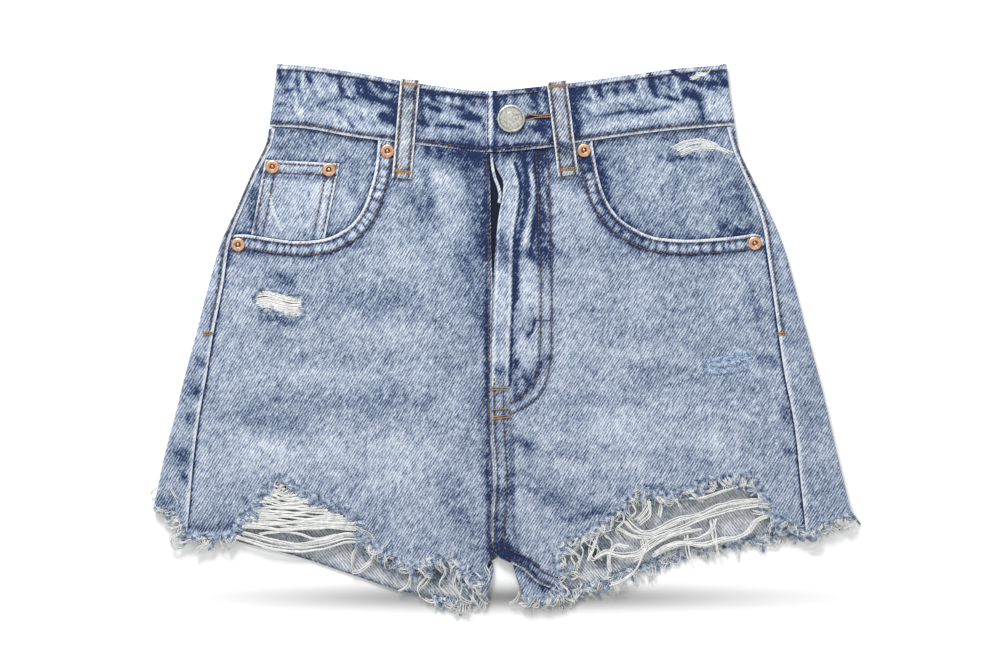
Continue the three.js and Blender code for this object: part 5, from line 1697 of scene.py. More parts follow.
@dataclass
class Fronts:
    """The two front panels with their seams, turned pocket edges and rips."""

    groove: float = 0.3
    pucker: float = 0.24
    seams: list[Seam] = field(default_factory=list)

    def below(self, path: Line, high: float, low: float) -> Line:
        """The part of a path between two heights of y."""
        return path[(path[:, 1] <= high) & (path[:, 1] >= low)]

    def side_line(self, side: int, high: float, low: float) -> Line:
        """The front's edge at the side seam."""
        y = np.linspace(high, low, round((high - low) / EDGE_STEP))
        return stack(FORM.seam[side](y) - side * GAP / 2, y)

    def waist_line(self, x0: float, x1: float) -> Line:
        """The front's edge at the waistband."""
        x = np.linspace(x0, x1, round(abs(x1 - x0) / EDGE_STEP))
        return stack(x, FORM.waist_seam(x) - GAP)

    def right_outline(self) -> Line:
        """The right front's edge.

        Returns:
            The outline.
        """
        inner_y = np.linspace(-157, -172, 11)
        inner = stack(through(RIGHT_INNER, "y", "seam")(inner_y) - GAP, inner_y)
        centre = self.below(FORM.fly, 35, -151) - [GAP, 0]
        return joined(
            self.waist_line(-87, -10), curve(RIGHT_FLY_EDGE, EDGE_STEP)[1:], centre, inner,
            self.frayed(RIGHT_INNER_HEM, 5), self.frayed(RIGHT_RIP, 6),
            self.frayed(RIGHT_OUTER_HEM, 7), self.side_line(-1, 70, -138)[::-1],
            FORM.pocket[-1][::-1][6:-1],
        )

    def left_outline(self) -> Line:
        """The left front's edge.

        Returns:
            The outline.
        """
        return joined(
            FORM.fly[::-1], self.waist_line(-6.5, 63)[1:], FORM.pocket[1][1:-6],
            self.side_line(1, 71, -138)[1:], self.frayed(LEFT_FRONT_HEM, 8),
            FORM.inseam[1:-1][::-1],
        )

    def frayed(self, edge: Table, seed: int) -> Line:
        """A torn edge from its last point to its first, a little uneven between them.

        Args:
            edge: its points.
            seed: the draw.

        Returns:
            The ragged path.
        """
        random = np.random.default_rng(seed)
        path = curve(edge, TORN_STEP)[::-1]
        ragged = random.uniform(-0.55, 0.55, (len(path), 2))
        ragged[[0, -1]] = 0
        return path + ragged

    def grooves(self, off: Array, places: Sequence[float]) -> Array:
        """What rows of stitching press into the cloth beside an edge."""
        return -self.groove * sum(bell(off - place, 0.8) for place in places)

    def tuck(self, along: Array) -> Array:
        """How a turned pocket edge puckers along its length."""
        return wander(along, 1.05, 2, 0.23)

    def top(self, side: int) -> Height:
        """The outer face of a front, with its seams and puckers.

        Args:
            side: -1 for the right side, 1 for the left one.

        Returns:
            The height as a function of x and y.
        """
        pocket = FORM.pocket[side][::3]
        inward = -side

        def height(x: Array, y: Array) -> Array:
            """Height at points.

            Args:
                x: the points' x.
                y: the points' y.

            Returns:
                The height at each point.
            """
            z = FORM.front_top(x, y) + 0.12 * waves(x, y, 14, 3) + 0.05 * waves(x, y, 5, 4)
            off, along = beside(pocket, x, y)
            off = off * inward
            z = z + SEAM_BULK * smooth(POCKET_EDGE_WIDTH + 0.6, POCKET_EDGE_WIDTH - 0.8, off)
            z = z + self.pucker * self.tuck(along) * bell(off - 6.4, 3.6)
            z = z + self.grooves(off, POCKET_ROWS)
            z = z + 0.3 * wander(x, 0.62, 1.7, 0.11) * bell(FORM.waist_seam(x) - y, 9)
            if side == 1:
                z = z + self.left_fell(x, y)
            else:
                edge, _ = beside(FORM.fly[::3], x, y)
                z = z + self.grooves(edge, (-2.8,)) * smooth(-150, -140, y)
            hem = np.clip((y + 90) / -30, 0, 1)
            return z + crease(x, y, 0) + 0.25 * waves(x, y, 9, 11) * hem

        return height

    def left_fell(self, x: Array, y: Array) -> Array:
        """What the felled seams and the J stitching add to the left front.

        Args:
            x: the points' x.
            y: the points' y.

        Returns:
            What they add at each point.
        """
        edge, along = beside(FORM.fly[::3], x, y)
        inseam, run = beside(FORM.inseam[::2], x, y)
        fell = FELL_WIDTH + 0.6, FELL_WIDTH - 0.8
        inseam = np.abs(inseam)
        z = SEAM_BULK * np.maximum(smooth(*fell, edge) * smooth(4, -4, y), smooth(*fell, inseam))
        z = z + 0.18 * np.sin(along * 0.95) * bell(edge - 5, 4) * smooth(0, -30, y)
        z = z + 0.18 * np.sin(run) * bell(inseam - 5, 4)
        for path in J_STITCHES:
            off, run = beside(curve(path, 6), x, y)
            z = z - self.groove * bell(off, 0.9) + 0.14 * np.sin(run * 0.8) * bell(off, 5)
        return z + self.grooves(edge, FELL_ROWS) * smooth(-20, -40, y)

    def ribs(self, side: int) -> list[Line]:
        """Rows of closer points along stitched channels and sharp creases.

        Args:
            side: -1 for the right side, 1 for the left one.

        Returns:
            The rows.
        """
        pocket = curve(RIGHT_POCKET if side < 0 else LEFT_POCKET, 1.0)[3:-4]
        y = np.arange(66, -136, -0.95)
        rows = [shifted(pocket, -side * off) for off in (1.2, 2.4, 3.4, 9.1, 10.0, 10.9)]
        rows += [stack(FORM.seam[side](y) - side * off, y) for off in (0.9, 1.7)]
        edge = curve(FLY_EDGE, 0.9)
        if side < 0:
            paths = [(edge[edge[:, 1] < 35], (-1.5, -2.6, -3.6))]
        else:
            sharp = [curve(view(row[3]), 0.9) for row in CREASES[:8]]
            paths = [(path, (0.0, 0.8, -0.8, 1.6, -1.6)) for path in sharp]
            paths += [(curve(path, 0.9), (0.0, 0.9, -0.9)) for path in J_STITCHES]
            paths += [(edge, (0.8, 1.7, 2.6)), (edge[edge[:, 1] < -30], (7.6, 8.5, 9.4, 11.5))]
            paths += [(curve(INSEAM, 0.9), (1.1, 2.2, 3.2, 7.6, 8.5, 9.4))]
        return rows + [shifted(path, off) for path, offsets in paths for off in offsets]

    def paint(self, side: int) -> Paint:
        """Wash and wear over a front, with painted shadow along the side seam and below the
        waistband, and the creases' painted shade and highlight.

        Args:
            side: -1 for the right side, 1 for the left one.

        Returns:
            A function that gives wash and bareness.
        """
        pocket = FORM.pocket[side][::3]
        seam = self.side_line(side, 70, -138)[::4]

        def color(x: Array, y: Array) -> Pair:
            """Wash and bareness at points.

            Args:
                x: the points' x.
                y: the points' y.

            Returns:
                Wash and bareness at each point.
            """
            # The creases add painted shade in their troughs and painted highlight on their ridges
            wash = strokes(WASH_AND_PAINTED_SHADE, x, y) + crease(x, y, 1)
            off, along = beside(pocket, x, y)
            off = -side * off
            valley = 0.5 - 0.5 * self.tuck(along)
            wash = wash + lines_beside(
                off, (0.5, 1.4, 0.62), (10.2, 1.2, -0.44 - 0.2 * valley),
                (3.0, 1.1, -0.3 - 0.24 * valley), (6.6, 2.3, 0.2 - 0.62 * valley**3),
                (12.4, 2.6, -0.14),
            )
            edge, run = beside(FORM.fly[::3], x, y)
            patches = blotches(run, 0.5, 2, 0.17)
            if side == 1:
                fell = smooth(10.5, 8.5, edge) * smooth(-20, -50, y)
                wash = wash - fell * (0.05 + 0.1 * patches)
                wash = wash + 0.42 * bell(edge, 1.2) * smooth(20, -10, y)
                channels = lines_beside(edge, (1.9, 1.0, -0.4), (8.6, 1.0, -0.4))
                wash = wash + channels * smooth(-30, -60, y)
                wash = wash - 0.22 * bell(edge - 11.5, 1.6) * smooth(-36, -60, y)
                inseam = np.abs(beside(FORM.inseam[::2], x, y)[0])
                wash = wash + lines_beside(inseam, (0, 1.2, 0.5), (2.4, 1, -0.3), (8.6, 1, -0.3))
                for path in J_STITCHES:
                    wash = wash - 0.36 * bell(beside(curve(path, 6), x, y)[0], 1.2)
            else:
                wash = wash - 0.34 * bell(edge + 2.4, 1.1) * smooth(20, 0, y)
                wash = wash + 0.3 * bell(edge, 1.1)
            # Painted shadow: a dark line on the front along the side seam
            wash = wash - 0.8 * bell(beside(seam, x, y)[0], 1.1)
            # Painted shade on the front just below the waistband
            below = FORM.waist_seam(x) - y
            wash = wash - 0.3 * blotches(x, 0.55, 1.6, 0.13) * bell(below - 2, 3.2)
            return wash, worn(x, y)

        return color

    def build(self) -> list[Piece]:
        """Makes both fronts and notes their topstitching.

        Returns:
            The pieces.
        """
        made = []
        cuts = ((0.235, 0.315, 0.0505), (0.225, 0.315, 0.0490))
        for (side, label), cut in zip(SIDES, cuts):
            right = side < 0
            drape = Drape(
                self.right_outline() if right else self.left_outline(), self.top(side),
                holes=[evenly(closed(SMALL_RIP), TORN_STEP)[:-1]] if right else [],
                ribs=self.ribs(side), paint=self.paint(side),
            )
            piece = drape.shell().make(f"front_panel_{label}", Finish.FRONT, Finish.LINING)
            made.append(dress(piece, "denim_front", f"front_{label}", cut=cut))
            pocket = FORM.pocket[side][2:-6 if right else -8]
            self.seams.append(Seam(pocket, [-side * row for row in POCKET_ROWS], self.top(side)))
        left = self.top(1)
        edge = joined(curve(RIGHT_FLY_EDGE, SEAM_STEP), self.below(FORM.fly, 42, -150) - [GAP, 0])
        self.seams += [
            *(Seam(curve(path, SEAM_STEP), [0], left) for path in J_STITCHES),
            Seam(self.below(FORM.fly, -30, -152), FELL_ROWS, left),
            Seam(FORM.inseam[2:-2], INSEAM_ROWS, left), Seam(edge[3:], [-1.9], self.top(-1)),
        ]
        return made


@dataclass
class Hips:
    """Hip panels in the pocket openings, and the coin pocket on the right one."""

    seams: list[Seam] = field(default_factory=list)

    def outline(self, side: int) -> Line:
        """A hip panel's edge, which runs on below the front.

        Args:
            side: -1 for the right side, 1 for the left one.

        Returns:
            The outline.
        """
        seam, pocket = FORM.seam[side], FORM.pocket[side]
        inward = -side
        under = shifted(pocket, inward * POCKET_UNDERLAP)
        x, y = under.T
        under = under[(y < FORM.waist_seam(x) - 2) & (inward * (x - seam(y)) > 1)]
        ends = (-159, -88) if side < 0 else (157, 64)
        y = np.linspace(under[-1, 1], FORM.waist_seam(ends[0]) - 1, 60)
        edge = stack(seam(y) + inward * GAP / 2, y)
        x = np.linspace(ends[0], ends[1], 55)
        return joined(under, edge, stack(x, FORM.waist_seam(x) - GAP))

    def height(self, side: int) -> Height:
        """The outer face of a hip panel.

        Args:
            side: -1 for the right side, 1 for the left one.

        Returns:
            The height as a function of x and y.
        """

        def top(x: Array, y: Array) -> Array:
            """Height at points.

            Args:
                x: the points' x.
                y: the points' y.

            Returns:
                The height at each point.
            """
            below = FORM.waist_seam(x) - y
            roll = 0.22 * wander(x, 0.5, 1.4, 0.1) * bell(below, 9)
            z = FORM.hip_top(x, y, side) + roll
            return z + 0.1 * waves(x, y, 10, 21) * smooth(0, 8, below)

        return top

    def paint(self, x: Array, y: Array) -> Pair:
        """Wash and wear over a hip panel, with painted shade below the waistband; it is also
        darker beside the pocket edges and round the coin pocket.

        Args:
            x: the points' x.
            y: the points' y.

        Returns:
            Wash and bareness at each point.
        """
        wash = strokes(WASH_AND_PAINTED_SHADE, x, y) - 0.08
        for side in (-1, 1):
            wash = wash - 0.34 * bell(beside(FORM.pocket[side][::3], x, y)[0], 3.0)
        wash = wash - 0.25 * bell(beside(closed(COIN_POCKET), x, y)[0], 2.2)
        # Painted shade on the hip panel just below the waistband
        wash = wash - 0.18 * bell(FORM.waist_seam(x) - y - 2, 3)
        return wash, worn(x, y)

    def coin_height(self, x: Array, y: Array) -> Array:
        """The outer face of the coin pocket, with its stitched edges.

        Args:
            x: the points' x.
            y: the points' y.

        Returns:
            The height at each point.
        """
        z = FORM.coin_top(x, y) + 0.08 * waves(x, y, 8, 31)
        for path, offsets in self.coin_rows():
            off, along = beside(path, x, y)
            z = z + lines_beside(off, *((place, 0.8, -0.25) for place in offsets))
            z = z + 0.1 * np.sin(along * 0.9) * bell(off - offsets[0], 4)
        return z

    def coin_rows(self) -> list[tuple[Line, list[float]]]:
        """The coin pocket's edges and the offsets of their stitching.

        Returns:
            Each edge with its offsets.
        """
        a, b, c, d = (np.array(p, float) for p in COIN_POCKET)
        return [
            (evenly([b, a], SEAM_STEP), [2.2, 8.6]), (evenly([a, d], SEAM_STEP), [2.0, 8.0]),
            (evenly([c, b], SEAM_STEP), [2.0, 8.0]),
        ]

    def coin_paint(self, x: Array, y: Array) -> Pair:
        """Wash over the coin pocket: worn edges and dark stitched channels.

        Args:
            x: the points' x.
            y: the points' y.

        Returns:
            Wash and bareness at each point.
        """
        wash = strokes(WASH_AND_PAINTED_SHADE, x, y) + 0.07
        for path, offsets in self.coin_rows():
            off, along = beside(path, x, y)
            dark = -0.26 - 0.16 * blotches(along, 0.8, 2, 0.27)
            wash = wash + lines_beside(off, *((place, 1.1, dark) for place in offsets))
            wash = wash + 0.42 * bell(off, 1.2) + 0.06 * smooth(9, 7, off)
        top, _ = beside(self.coin_rows()[0][0], x, y)
        wash = wash - 0.3 * bell(top - 11.5, 1.6)
        return wash, worn(x, y)

    def build(self) -> list[Piece]:
        """Makes the hip panels and the coin pocket.

        Returns:
            The pieces.
        """
        made = []
        for (side, label), cut in zip(SIDES, ((0.11, 0.10, 0.0084), (0.12, 0.10, 0.0094))):
            drape = Drape(self.outline(side), self.height(side), step=1.6, paint=self.paint)
            piece = drape.shell().make(f"hip_cloth_{label}", Finish.FRONT, Finish.LINING)
            made.append(dress(piece, "denim_front", f"hip_panel_{label}", cut=cut))
        corners = evenly(closed(COIN_POCKET), SEAM_STEP)[:-1]
        covered = joined(shifted(FORM.pocket[-1], -0.5), np.array([(-196.0, 40.0), (-80.0, 40.0)]))
        drape = Drape(
            corners, self.coin_height, PATCH_WALL, 1.6, cut_away=[covered], paint=self.coin_paint
        )
        piece = drape.shell().make("coin_pocket_patch", Finish.FRONT, Finish.LINING)
        made.append(dress(piece, "denim_front", "coin_pocket", cut=(0.053, 0.060, 0.0028)))
        for path, offsets in self.coin_rows():
            clear = path[beside(FORM.pocket[-1], path[:, 0], path[:, 1])[0] < -1.5]
            self.seams.append(Seam(clear[2:-1], offsets, self.coin_height))
        return made


def turned_columns(side: int, middle: float, y: float, radius: float) -> tuple[Array, ...]:
    """Points round a side fold.

    Args:
        side: -1 for the right fold, 1 for the left one.
        middle: x of the fold's axis.
        y: where it is.
        radius: its radius.

    Returns:
        The points' x, y and z, and x and z of the direction out of the cloth.
    """
    turn = math.pi / 2 - np.linspace(0, math.pi, TURN_POINTS)
    nx, nz = side * np.cos(turn), np.sin(turn)
    return middle + nx * radius, np.full(TURN_POINTS, y), radius + nz * radius, nx, nz


@dataclass
class Backs:
    """The backs and yokes, which wrap round the side folds to the side seams."""

    rows: int = 118
    seams: list[Seam] = field(default_factory=list)

    def pocket_outline(self, side: int, grow: float) -> Line:
        """A back pocket's edge, made wider all round.

        Args:
            side: -1 for the right side, 1 for the left one.
            grow: how much wider.

        Returns:
            The outline.
        """
        half = 62 + grow
        low = half * 112 / 124
        high, foot, tip = grow, -118 - grow, -138 - grow
        u, v = np.array(((-half, high), (half, high), (low, foot), (0, tip), (-low, foot))).T
        c, s = math.cos(math.radians(6 * side)), math.sin(math.radians(6 * side))
        return stack(side * 97 + u * c - v * s, 60 + u * s + v * c)

    def loop_outline(self, x: float, top: float, foot: float, grow: float) -> Line:
        """A back belt loop's edge, made wider all round.

        Args:
            x: its middle.
            top: y of its upper end.
            foot: y of its lower end.
            grow: how much wider.

        Returns:
            The outline.
        """
        half = BACK_LOOP_WIDTH / 2 + grow
        left, right, low, high = x - half, x + half, foot - grow, top + grow
        return np.array([(left, low), (right, low), (right, high), (left, high)])

    def recess(self, x: Array, y: Array, outlines: Sequence[Line]) -> Array:
        """How far the underside is pushed up over the patches sewn on it.

        Args:
            x: the points' x.
            y: the points' y.
            outlines: the patches' edges.

        Returns:
            The rise at each point.
        """
        z = np.zeros_like(x)
        for outline in outlines:
            away = np.abs(beside(closed(outline), x, y)[0])
            away = np.where(inside(outline, x, y), -away, away)
            z = np.maximum(z, (PATCH_WALL + GAP) * smooth(2.2, 0.2, away))
        return z

    def wrapped(
        self,
        side: int,
        top: dict[str, object],
        foot: dict[str, object],
        patches: Sequence[Line],
        inner: list[Row] | None = None,
        count: int = 118,
        strip_drop: float = 1.0,
    ) -> Shell:
        """One wrapped sheet.

        Args:
            side: -1 for the right one, 1 for the left one.
            top: y of the upper edge at "seam", "fold" and "centre", and "under" as a function of x.
            foot: the same for the lower edge.
            patches: outlines of what is sewn on the underside.
            inner: the table of the inside of the leg.
            count: rows of points.
            strip_drop: how fast the lower edge drops across the strip on top.

        Returns:
            The closed sheet.
        """
        inward = -side
        fold, seam = FORM.fold[side], FORM.seam[side]
        inner_fold = through(inner, "y", "fold") if inner else None
        inner_seam = through(inner, "y", "seam") if inner else None
        outer, within, wash_and_painted_shading_rows, hidden = [], [], [], []
        for v in np.linspace(0, 1, count):
            levels = (float(mix(top[k], foot[k], v)) for k in ("seam", "fold", "centre"))
            y_seam, y_fold, y_centre = levels
            edge_x = fold(y_fold) + inward * 3.2
            radius = float(FORM.front_top(np.array([edge_x]), np.array([y_fold]))[0]) / 2
            middle = float(fold(y_fold)) + inward * radius
            a = np.linspace(0, 1, 15)[:-1]
            x = mix(float(seam(y_seam)) - inward * GAP / 2, middle, a)
            y = mix(y_seam, y_fold, 1 - (1 - a) ** strip_drop)
            off = np.abs(x - seam(y))
            bulk = SIDE_BULK * smooth(9, 3, off) * smooth(3, 7, np.abs(x - middle))
            z = mix(FORM.front_top(x, y), 2 * radius, a * a) + bulk
            ripple = 0.22 * wander(y, 0.9, 1.5, 0.13) * bell(off - 4, 4)
            z = z + ripple * smooth(-4, 6, y) - 0.45 * bell(off, 0.9)
            parts = [(x, y, z, np.zeros_like(x), np.ones_like(x))]
            parts.append(turned_columns(side, middle, y_fold, radius))
            last_x, inner_radius, length = self.inner_end(side, y_centre, inner_fold, inner_seam)
            b = np.linspace(0, 1, 84)[1:]
            x = mix(middle, last_x, b)
            y = mix(top["under"](x), foot["under"](x), v)
            y = np.where(b > 0.999, y_centre, y)
            parts.append((x, y, self.recess(x, y, patches), np.zeros_like(x), -np.ones_like(x)))
            if inner:
                s = length * np.arange(1, 15) / 14
                turn = np.minimum(math.pi, s / inner_radius)
                over = np.maximum(0, s - math.pi * inner_radius)
                nx, nz = inward * np.sin(turn), -np.cos(turn)
                x = last_x + nx * inner_radius - inward * over
                parts.append((x, np.full(14, y_centre), inner_radius + nz * inner_radius, nx, nz))
            x, y, z, nx, nz = (np.concatenate(column) for column in zip(*parts))
            outer.append(stack(x, y, z))
            within.append(stack(x - nx * WALL, y, z - nz * WALL))
            above = z > 2.5
            wash = np.where(above, strokes(WASH_AND_PAINTED_SHADE, x, y), 0.06 * waves(x, y, 30, 41))
            broken = 0.6 + 0.4 * wander(y, 0.9, 1.5, 0.13)
            off = np.abs(x - seam(y))
            # Painted highlight: a pale line on the back's raised edge beside the side seam
            white = bell(off - 0.6, 1.4) * above
            dark = bell(off - 3.4, 1.2) * above * smooth(-10, 6, y)
            wash_and_painted_shading_rows.append(wash + 0.56 * white - 0.56 * broken * dark)
            depth = (1 - v) * 200 if inner else 99.0
            hidden.append(np.full(len(x), -0.75 * bell(depth, 1.6)) + strokes(INSIDE, x, y))
        points, faces, lined = wall_between(np.array(outer), np.array(within))
        wash = np.concatenate([*wash_and_painted_shading_rows, *hidden])
        return Shell(points, faces, lined, wash)

    def inner_end(
        self, side: int, y: float, fold: Callable | None, seam: Callable | None
    ) -> tuple[float, float, float]:
        """Where the underside ends: its x, the inner fold's radius and what wraps on there.

        Args:
            side: -1 for the right side, 1 for the left one.
            y: where.
            fold: x of the leg's inner fold, or nothing for a yoke.
            seam: the same of its seam.

        Returns:
            Its x, the radius and the length that wraps on.
        """
        inward = -side
        centre = side * GAP / 2
        if not fold:
            return centre, 1.0, 0.0
        inner_fold = float(fold(y))
        at = np.array([inner_fold - inward * 6]), np.array([y])
        radius = float(FORM.front_top(*at)[0]) / 2
        if y >= CROTCH_Y:
            return mix(centre, inner_fold, float(smooth(-151, CROTCH_Y, y))), radius, 0.0
        last_x = inner_fold - inward * radius
        strip = max(0.0, inward * (last_x - float(seam(y))) - GAP)
        return last_x, radius, (math.pi * radius + strip) * float(smooth(CROTCH_Y, CROTCH_Y - 7, y))

    def levels(self, seam: float, fold: float, centre: float, under: Callable) -> dict:
        """Where one edge of a wrapped sheet runs."""
        return {"seam": seam, "fold": fold, "centre": centre, "under": under}

    def back(self, side: int, label: str) -> Piece:
        """One back panel.

        Args:
            side: -1 for the right side, 1 for the left one.
            label: the side's name.

        Returns:
            The piece.
        """
        right = side < 0
        hem_rows, inner = (RIGHT_BACK_HEM, RIGHT_INNER) if right else (LEFT_BACK_HEM, LEFT_INNER)
        hem = through(hem_rows, "x", "y")
        ends = sorted((row["x"] for row in hem_rows), key=lambda x: -x * side)
        first, last = float(hem(ends[0])), float(hem(ends[-1]))
        top = self.levels(YOKE_SIDE_Y, YOKE_SIDE_Y, YOKE_CENTRE_Y, FORM.yoke_line)
        foot = self.levels(-138.0 if right else -137.0, first, last, hem)
        patches = [self.pocket_outline(side, GAP)]
        drop = 5.0 if right else 1.0
        shell = self.wrapped(side, top, foot, patches, inner, self.rows, drop)
        piece = shell.make(f"back_panel_{label}", Finish.BACK, Finish.LINING)
        return dress(piece, "denim_back", f"back_{label}", cut=(0.29, 0.30, 0.0640))

    def yoke(self, side: int, label: str) -> Piece:
        """One back yoke.

        Args:
            side: -1 for the right side, 1 for the left one.
            label: the side's name.

        Returns:
            The piece.
        """
        high = float(FORM.waist_seam(FORM.fold[side](YOKE_SIDE_Y))) - BAND_PART
        centre = float(FORM.waist_seam(0)) - BAND_PART
        low = YOKE_SIDE_Y + GAP
        top = self.levels(high, high, centre, lambda x: FORM.waist_seam(x) - BAND_PART)
        foot = self.levels(low, low, YOKE_CENTRE_Y + GAP, lambda x: FORM.yoke_line(x) + GAP)
        patches = [self.loop_outline(*loop[1:], GAP) for loop in BACK_LOOPS if loop[1] * side >= 0]
        shell = self.wrapped(side, top, foot, patches, None, 30)
        piece = shell.make(f"yoke_panel_{label}", Finish.BACK, Finish.LINING)
        return dress(piece, "denim_back", f"yoke_{label}", cut=(0.185, 0.075, 0.0085))

    def flat_patch(self, name: str, node: str, outline: Line, slot: str, cut: tuple) -> Piece:
        """A patch that lies against the surface.

        Args:
            name: the piece's name.
            node: its CAD node.
            outline: its corners in order.
            slot: its slot in the record.
            cut: width, length and area in metres.

        Returns:
            The piece.
        """

        def top(x: Array, y: Array) -> Array:
            """Its upper face, which is even."""
            return np.full_like(x, PATCH_WALL)

        edge = closed(outline)

        def paint(x: Array, y: Array) -> Pair:
            """Pale edges beside dark stitched channels.

            Args:
                x: the points' x.
                y: the points' y.

            Returns:
                Wash and bareness at each point.
            """
            away = np.abs(beside(edge, x, y)[0])
            wash = lines_beside(away, (0, 1.2, 0.3), (2.4, 1.1, -0.2))
            return wash + 0.06 * waves(x, y, 18, 51), np.zeros_like(x)

        cloth = Drape(evenly(edge, 2.0)[:-1], top, PATCH_WALL, 2.4, rim=0.3, paint=paint)
        piece = cloth.shell().make(name, Finish.BACK if slot == "denim_back" else Finish.BAND)
        return dress(piece, slot, node, cut=cut)

    def build(self) -> list[Piece]:
        """Makes backs, yokes, back pockets and back loops, and notes their topstitching.

        Returns:
            The pieces.
        """
        made = []
        for side, label in SIDES:
            name, node = f"back_pocket_patch_{label}", f"back_pocket_{label}"
            outline = self.pocket_outline(side, 0)
            made += [
                self.back(side, label), self.yoke(side, label),
                self.flat_patch(name, node, outline, "denim_back", (0.135, 0.15, 0.0152)),
            ]
            y = np.linspace(140, 4, 80)
            self.seams.append(Seam(stack(FORM.seam[side](y), y), [3.0 * side], self.strip_top))
        for name, x, top, foot in BACK_LOOPS:
            outline, cut = self.loop_outline(x, top, foot, 0), (0.0132, 0.057, 0.00073)
            made.append(self.flat_patch(f"{name}_strip", name, outline, "denim_band", cut))
        return made

    def strip_top(self, x: Array, y: Array) -> Array:
        """The outer face of the back where it shows beside the side seam."""
        return FORM.front_top(x, y) + SIDE_BULK


@dataclass
class Waistband:
    """The waistband, one strip round the waist with its buttoned end on top, and its loops."""

    across: int = 34
    seams: list[Seam] = field(default_factory=list)

    def relief(self, x: Array, v: Array, front: bool) -> Array:
        """Grooves, puckers and rounded folds of the band at a share of its height.

        Args:
            x: the points' x.
            v: share of the band's height.
            front: whether it lies on top.

        Returns:
            The relief at each point.
        """
        width = FORM.waist_top(x) - FORM.waist_seam(x)
        low, high = v * width, (1 - v) * width
        z = -0.7 * (1 - smooth(0, 2.2, low)) - 0.7 * (1 - smooth(0, 2.2, high))
        if not front:
            return z * 0.4
        z = z - 0.34 * bell(low - 2.4, 0.8) - 0.34 * bell(high - 3.4, 0.8)
        z = z + 0.3 * wander(x, 0.75, 2.1, 0.12) * bell(high - 7, 6)
        z = z + 0.2 * wander(x, 0.66, 2, 0.1) * bell(low - 4, 5)
        z = z + 0.22 * waves(x, v * 42, 9, 61)
        return z - 1.5 * self.slot(x, low + FORM.waist_seam(x), 1.3) * (x > 0)

    def slot(self, x: Array, y: Array, half: float) -> Array:
        """A soft mark along the buttonhole.

        Args:
            x: the points' x.
            y: the points' y.
            half: its half width.

        Returns:
            Its strength at each point.
        """
        start, end, level = BUTTONHOLE
        beyond = np.maximum(0, np.maximum(start - x, x - end))
        return bell(np.hypot(beyond, y - level), half)

    def shell(self) -> Shell:
        """The closed band.

        Returns:
            The band with its paint.
        """
        right, left = through(BAND_SIDE, "y", "right"), through(BAND_SIDE, "y", "left")
        radius = BAND_TOP / 2
        outer, within, wash_and_painted_shading_rows, bares = [], [], [], []
        for v in np.linspace(0, 1, self.across):
            y_right, y_left = float(mix(146.5, 190, v)), float(mix(147, 190, v))
            right_middle = float(right(y_right)) + radius
            left_middle = float(left(y_left)) - radius
            parts = []

            def run(
                start: float, end: float, count: int, lower: float, top: Callable, nz: float
            ) -> None:
                """Adds columns along the band.

                Args:
                    start: x of the first column.
                    end: x of the last one.
                    count: how many.
                    lower: how far they are moved down.
                    top: their height as a function of x.
                    nz: 1 on top, -1 below.
                """
                x = np.linspace(start, end, count)
                y = mix(FORM.waist_seam(x), FORM.waist_top(x), v) - lower
                z = top(x) + nz * self.relief(x, np.full_like(x, v), nz > 0)
                parts.append((x, y, z, np.zeros_like(x), np.full_like(x, nz)))

            run(UNDERLAP_END, right_middle + 1.5, 126, 0, lambda x: FORM.band_top(x, False), 1.0)
            parts.append(turned_columns(-1, right_middle, y_right, radius))
            run(right_middle + 3, left_middle - 3, 106, 1, np.zeros_like, -1.0)
            back_up = turned_columns(1, left_middle, y_left, radius)
            parts.append(tuple(column[::-1] for column in back_up))
            run(left_middle - 1.5, OVERLAP_END, 116, 0, lambda x: FORM.band_top(x, True), 1.0)
            x, y, z, nx, nz = (np.concatenate(column) for column in zip(*parts))
            outer.append(stack(x, y, z))
            within.append(stack(x - nx * BAND_WALL, y, z - nz * BAND_WALL))
            wash, bare = self.paint(x, y, z)
            wash_and_painted_shading_rows.append(wash)
            bares.append(bare)
        points, faces, lined = wall_between(np.array(outer), np.array(within))
        wash, bare = np.concatenate(wash_and_painted_shading_rows), np.concatenate(bares)
        blank = np.zeros_like(wash)
        wash, bare = np.concatenate([wash, blank]), np.concatenate([bare, blank])
        return Shell(points, faces, lined, wash, bare)

    def paint(self, x: Array, y: Array, z: Array) -> Pair:
        """Wash and wear over the band, with painted shade along its top edge and painted shadows
        beside the front belt loops.

        Args:
            x: the points' x.
            y: the points' y.
            z: their heights.

        Returns:
            Wash and bareness at each point.
        """
        above = z > 3.0
        low, high = y - FORM.waist_seam(x), FORM.waist_top(x) - y
        blotch = blotches(x, 0.7, 2.2, 0.17)
        wash = np.where(above, strokes(WASH_AND_PAINTED_SHADE, x, y), 0.06 * waves(x, y, 25, 71))
        dark = -0.34 - 0.3 * blotch
        wash = wash + (0.2 + 0.34 * waves(x, y, 4, 72)) * smooth(3.8, 2.6, high)
        wash = wash + lines_beside(low, (0, 1.3, 0.5), (2.9, 1.3, dark))
        # Its first mark here is painted shade along the band's very top edge
        wash = wash + lines_beside(
            high, (0, 0.7, -0.3), (4.3, 1.2, dark), (7.6, 4.2, -0.42 * blotch**2)
        )
        end = np.abs(x - OVERLAP_END)
        lap = above & (z > 7.6)
        marks = lines_beside(
            end, (0.0, 0.4, 0.3), (0.9, 0.5, -0.6), (3.0, 1.7, 0.4), (6.0, 1.3, -0.8)
        )
        wash = wash + np.where(lap, marks - 0.06 * smooth(8.5, 6.5, end), 0)
        # Painted shadows of the front belt loops on the band beside them
        for _, start, foot, width in FRONT_LOOPS:
            away = np.abs(beside(np.array([start, foot], float), x, y)[0]) - width / 2
            wash = wash - np.where(above, 0.34 * bell(away, 2.4), 0)
        wash = wash - np.where(above, self.slot(x, y, 1.2), 0)
        return wash, np.where(above, worn(x, y), 0)

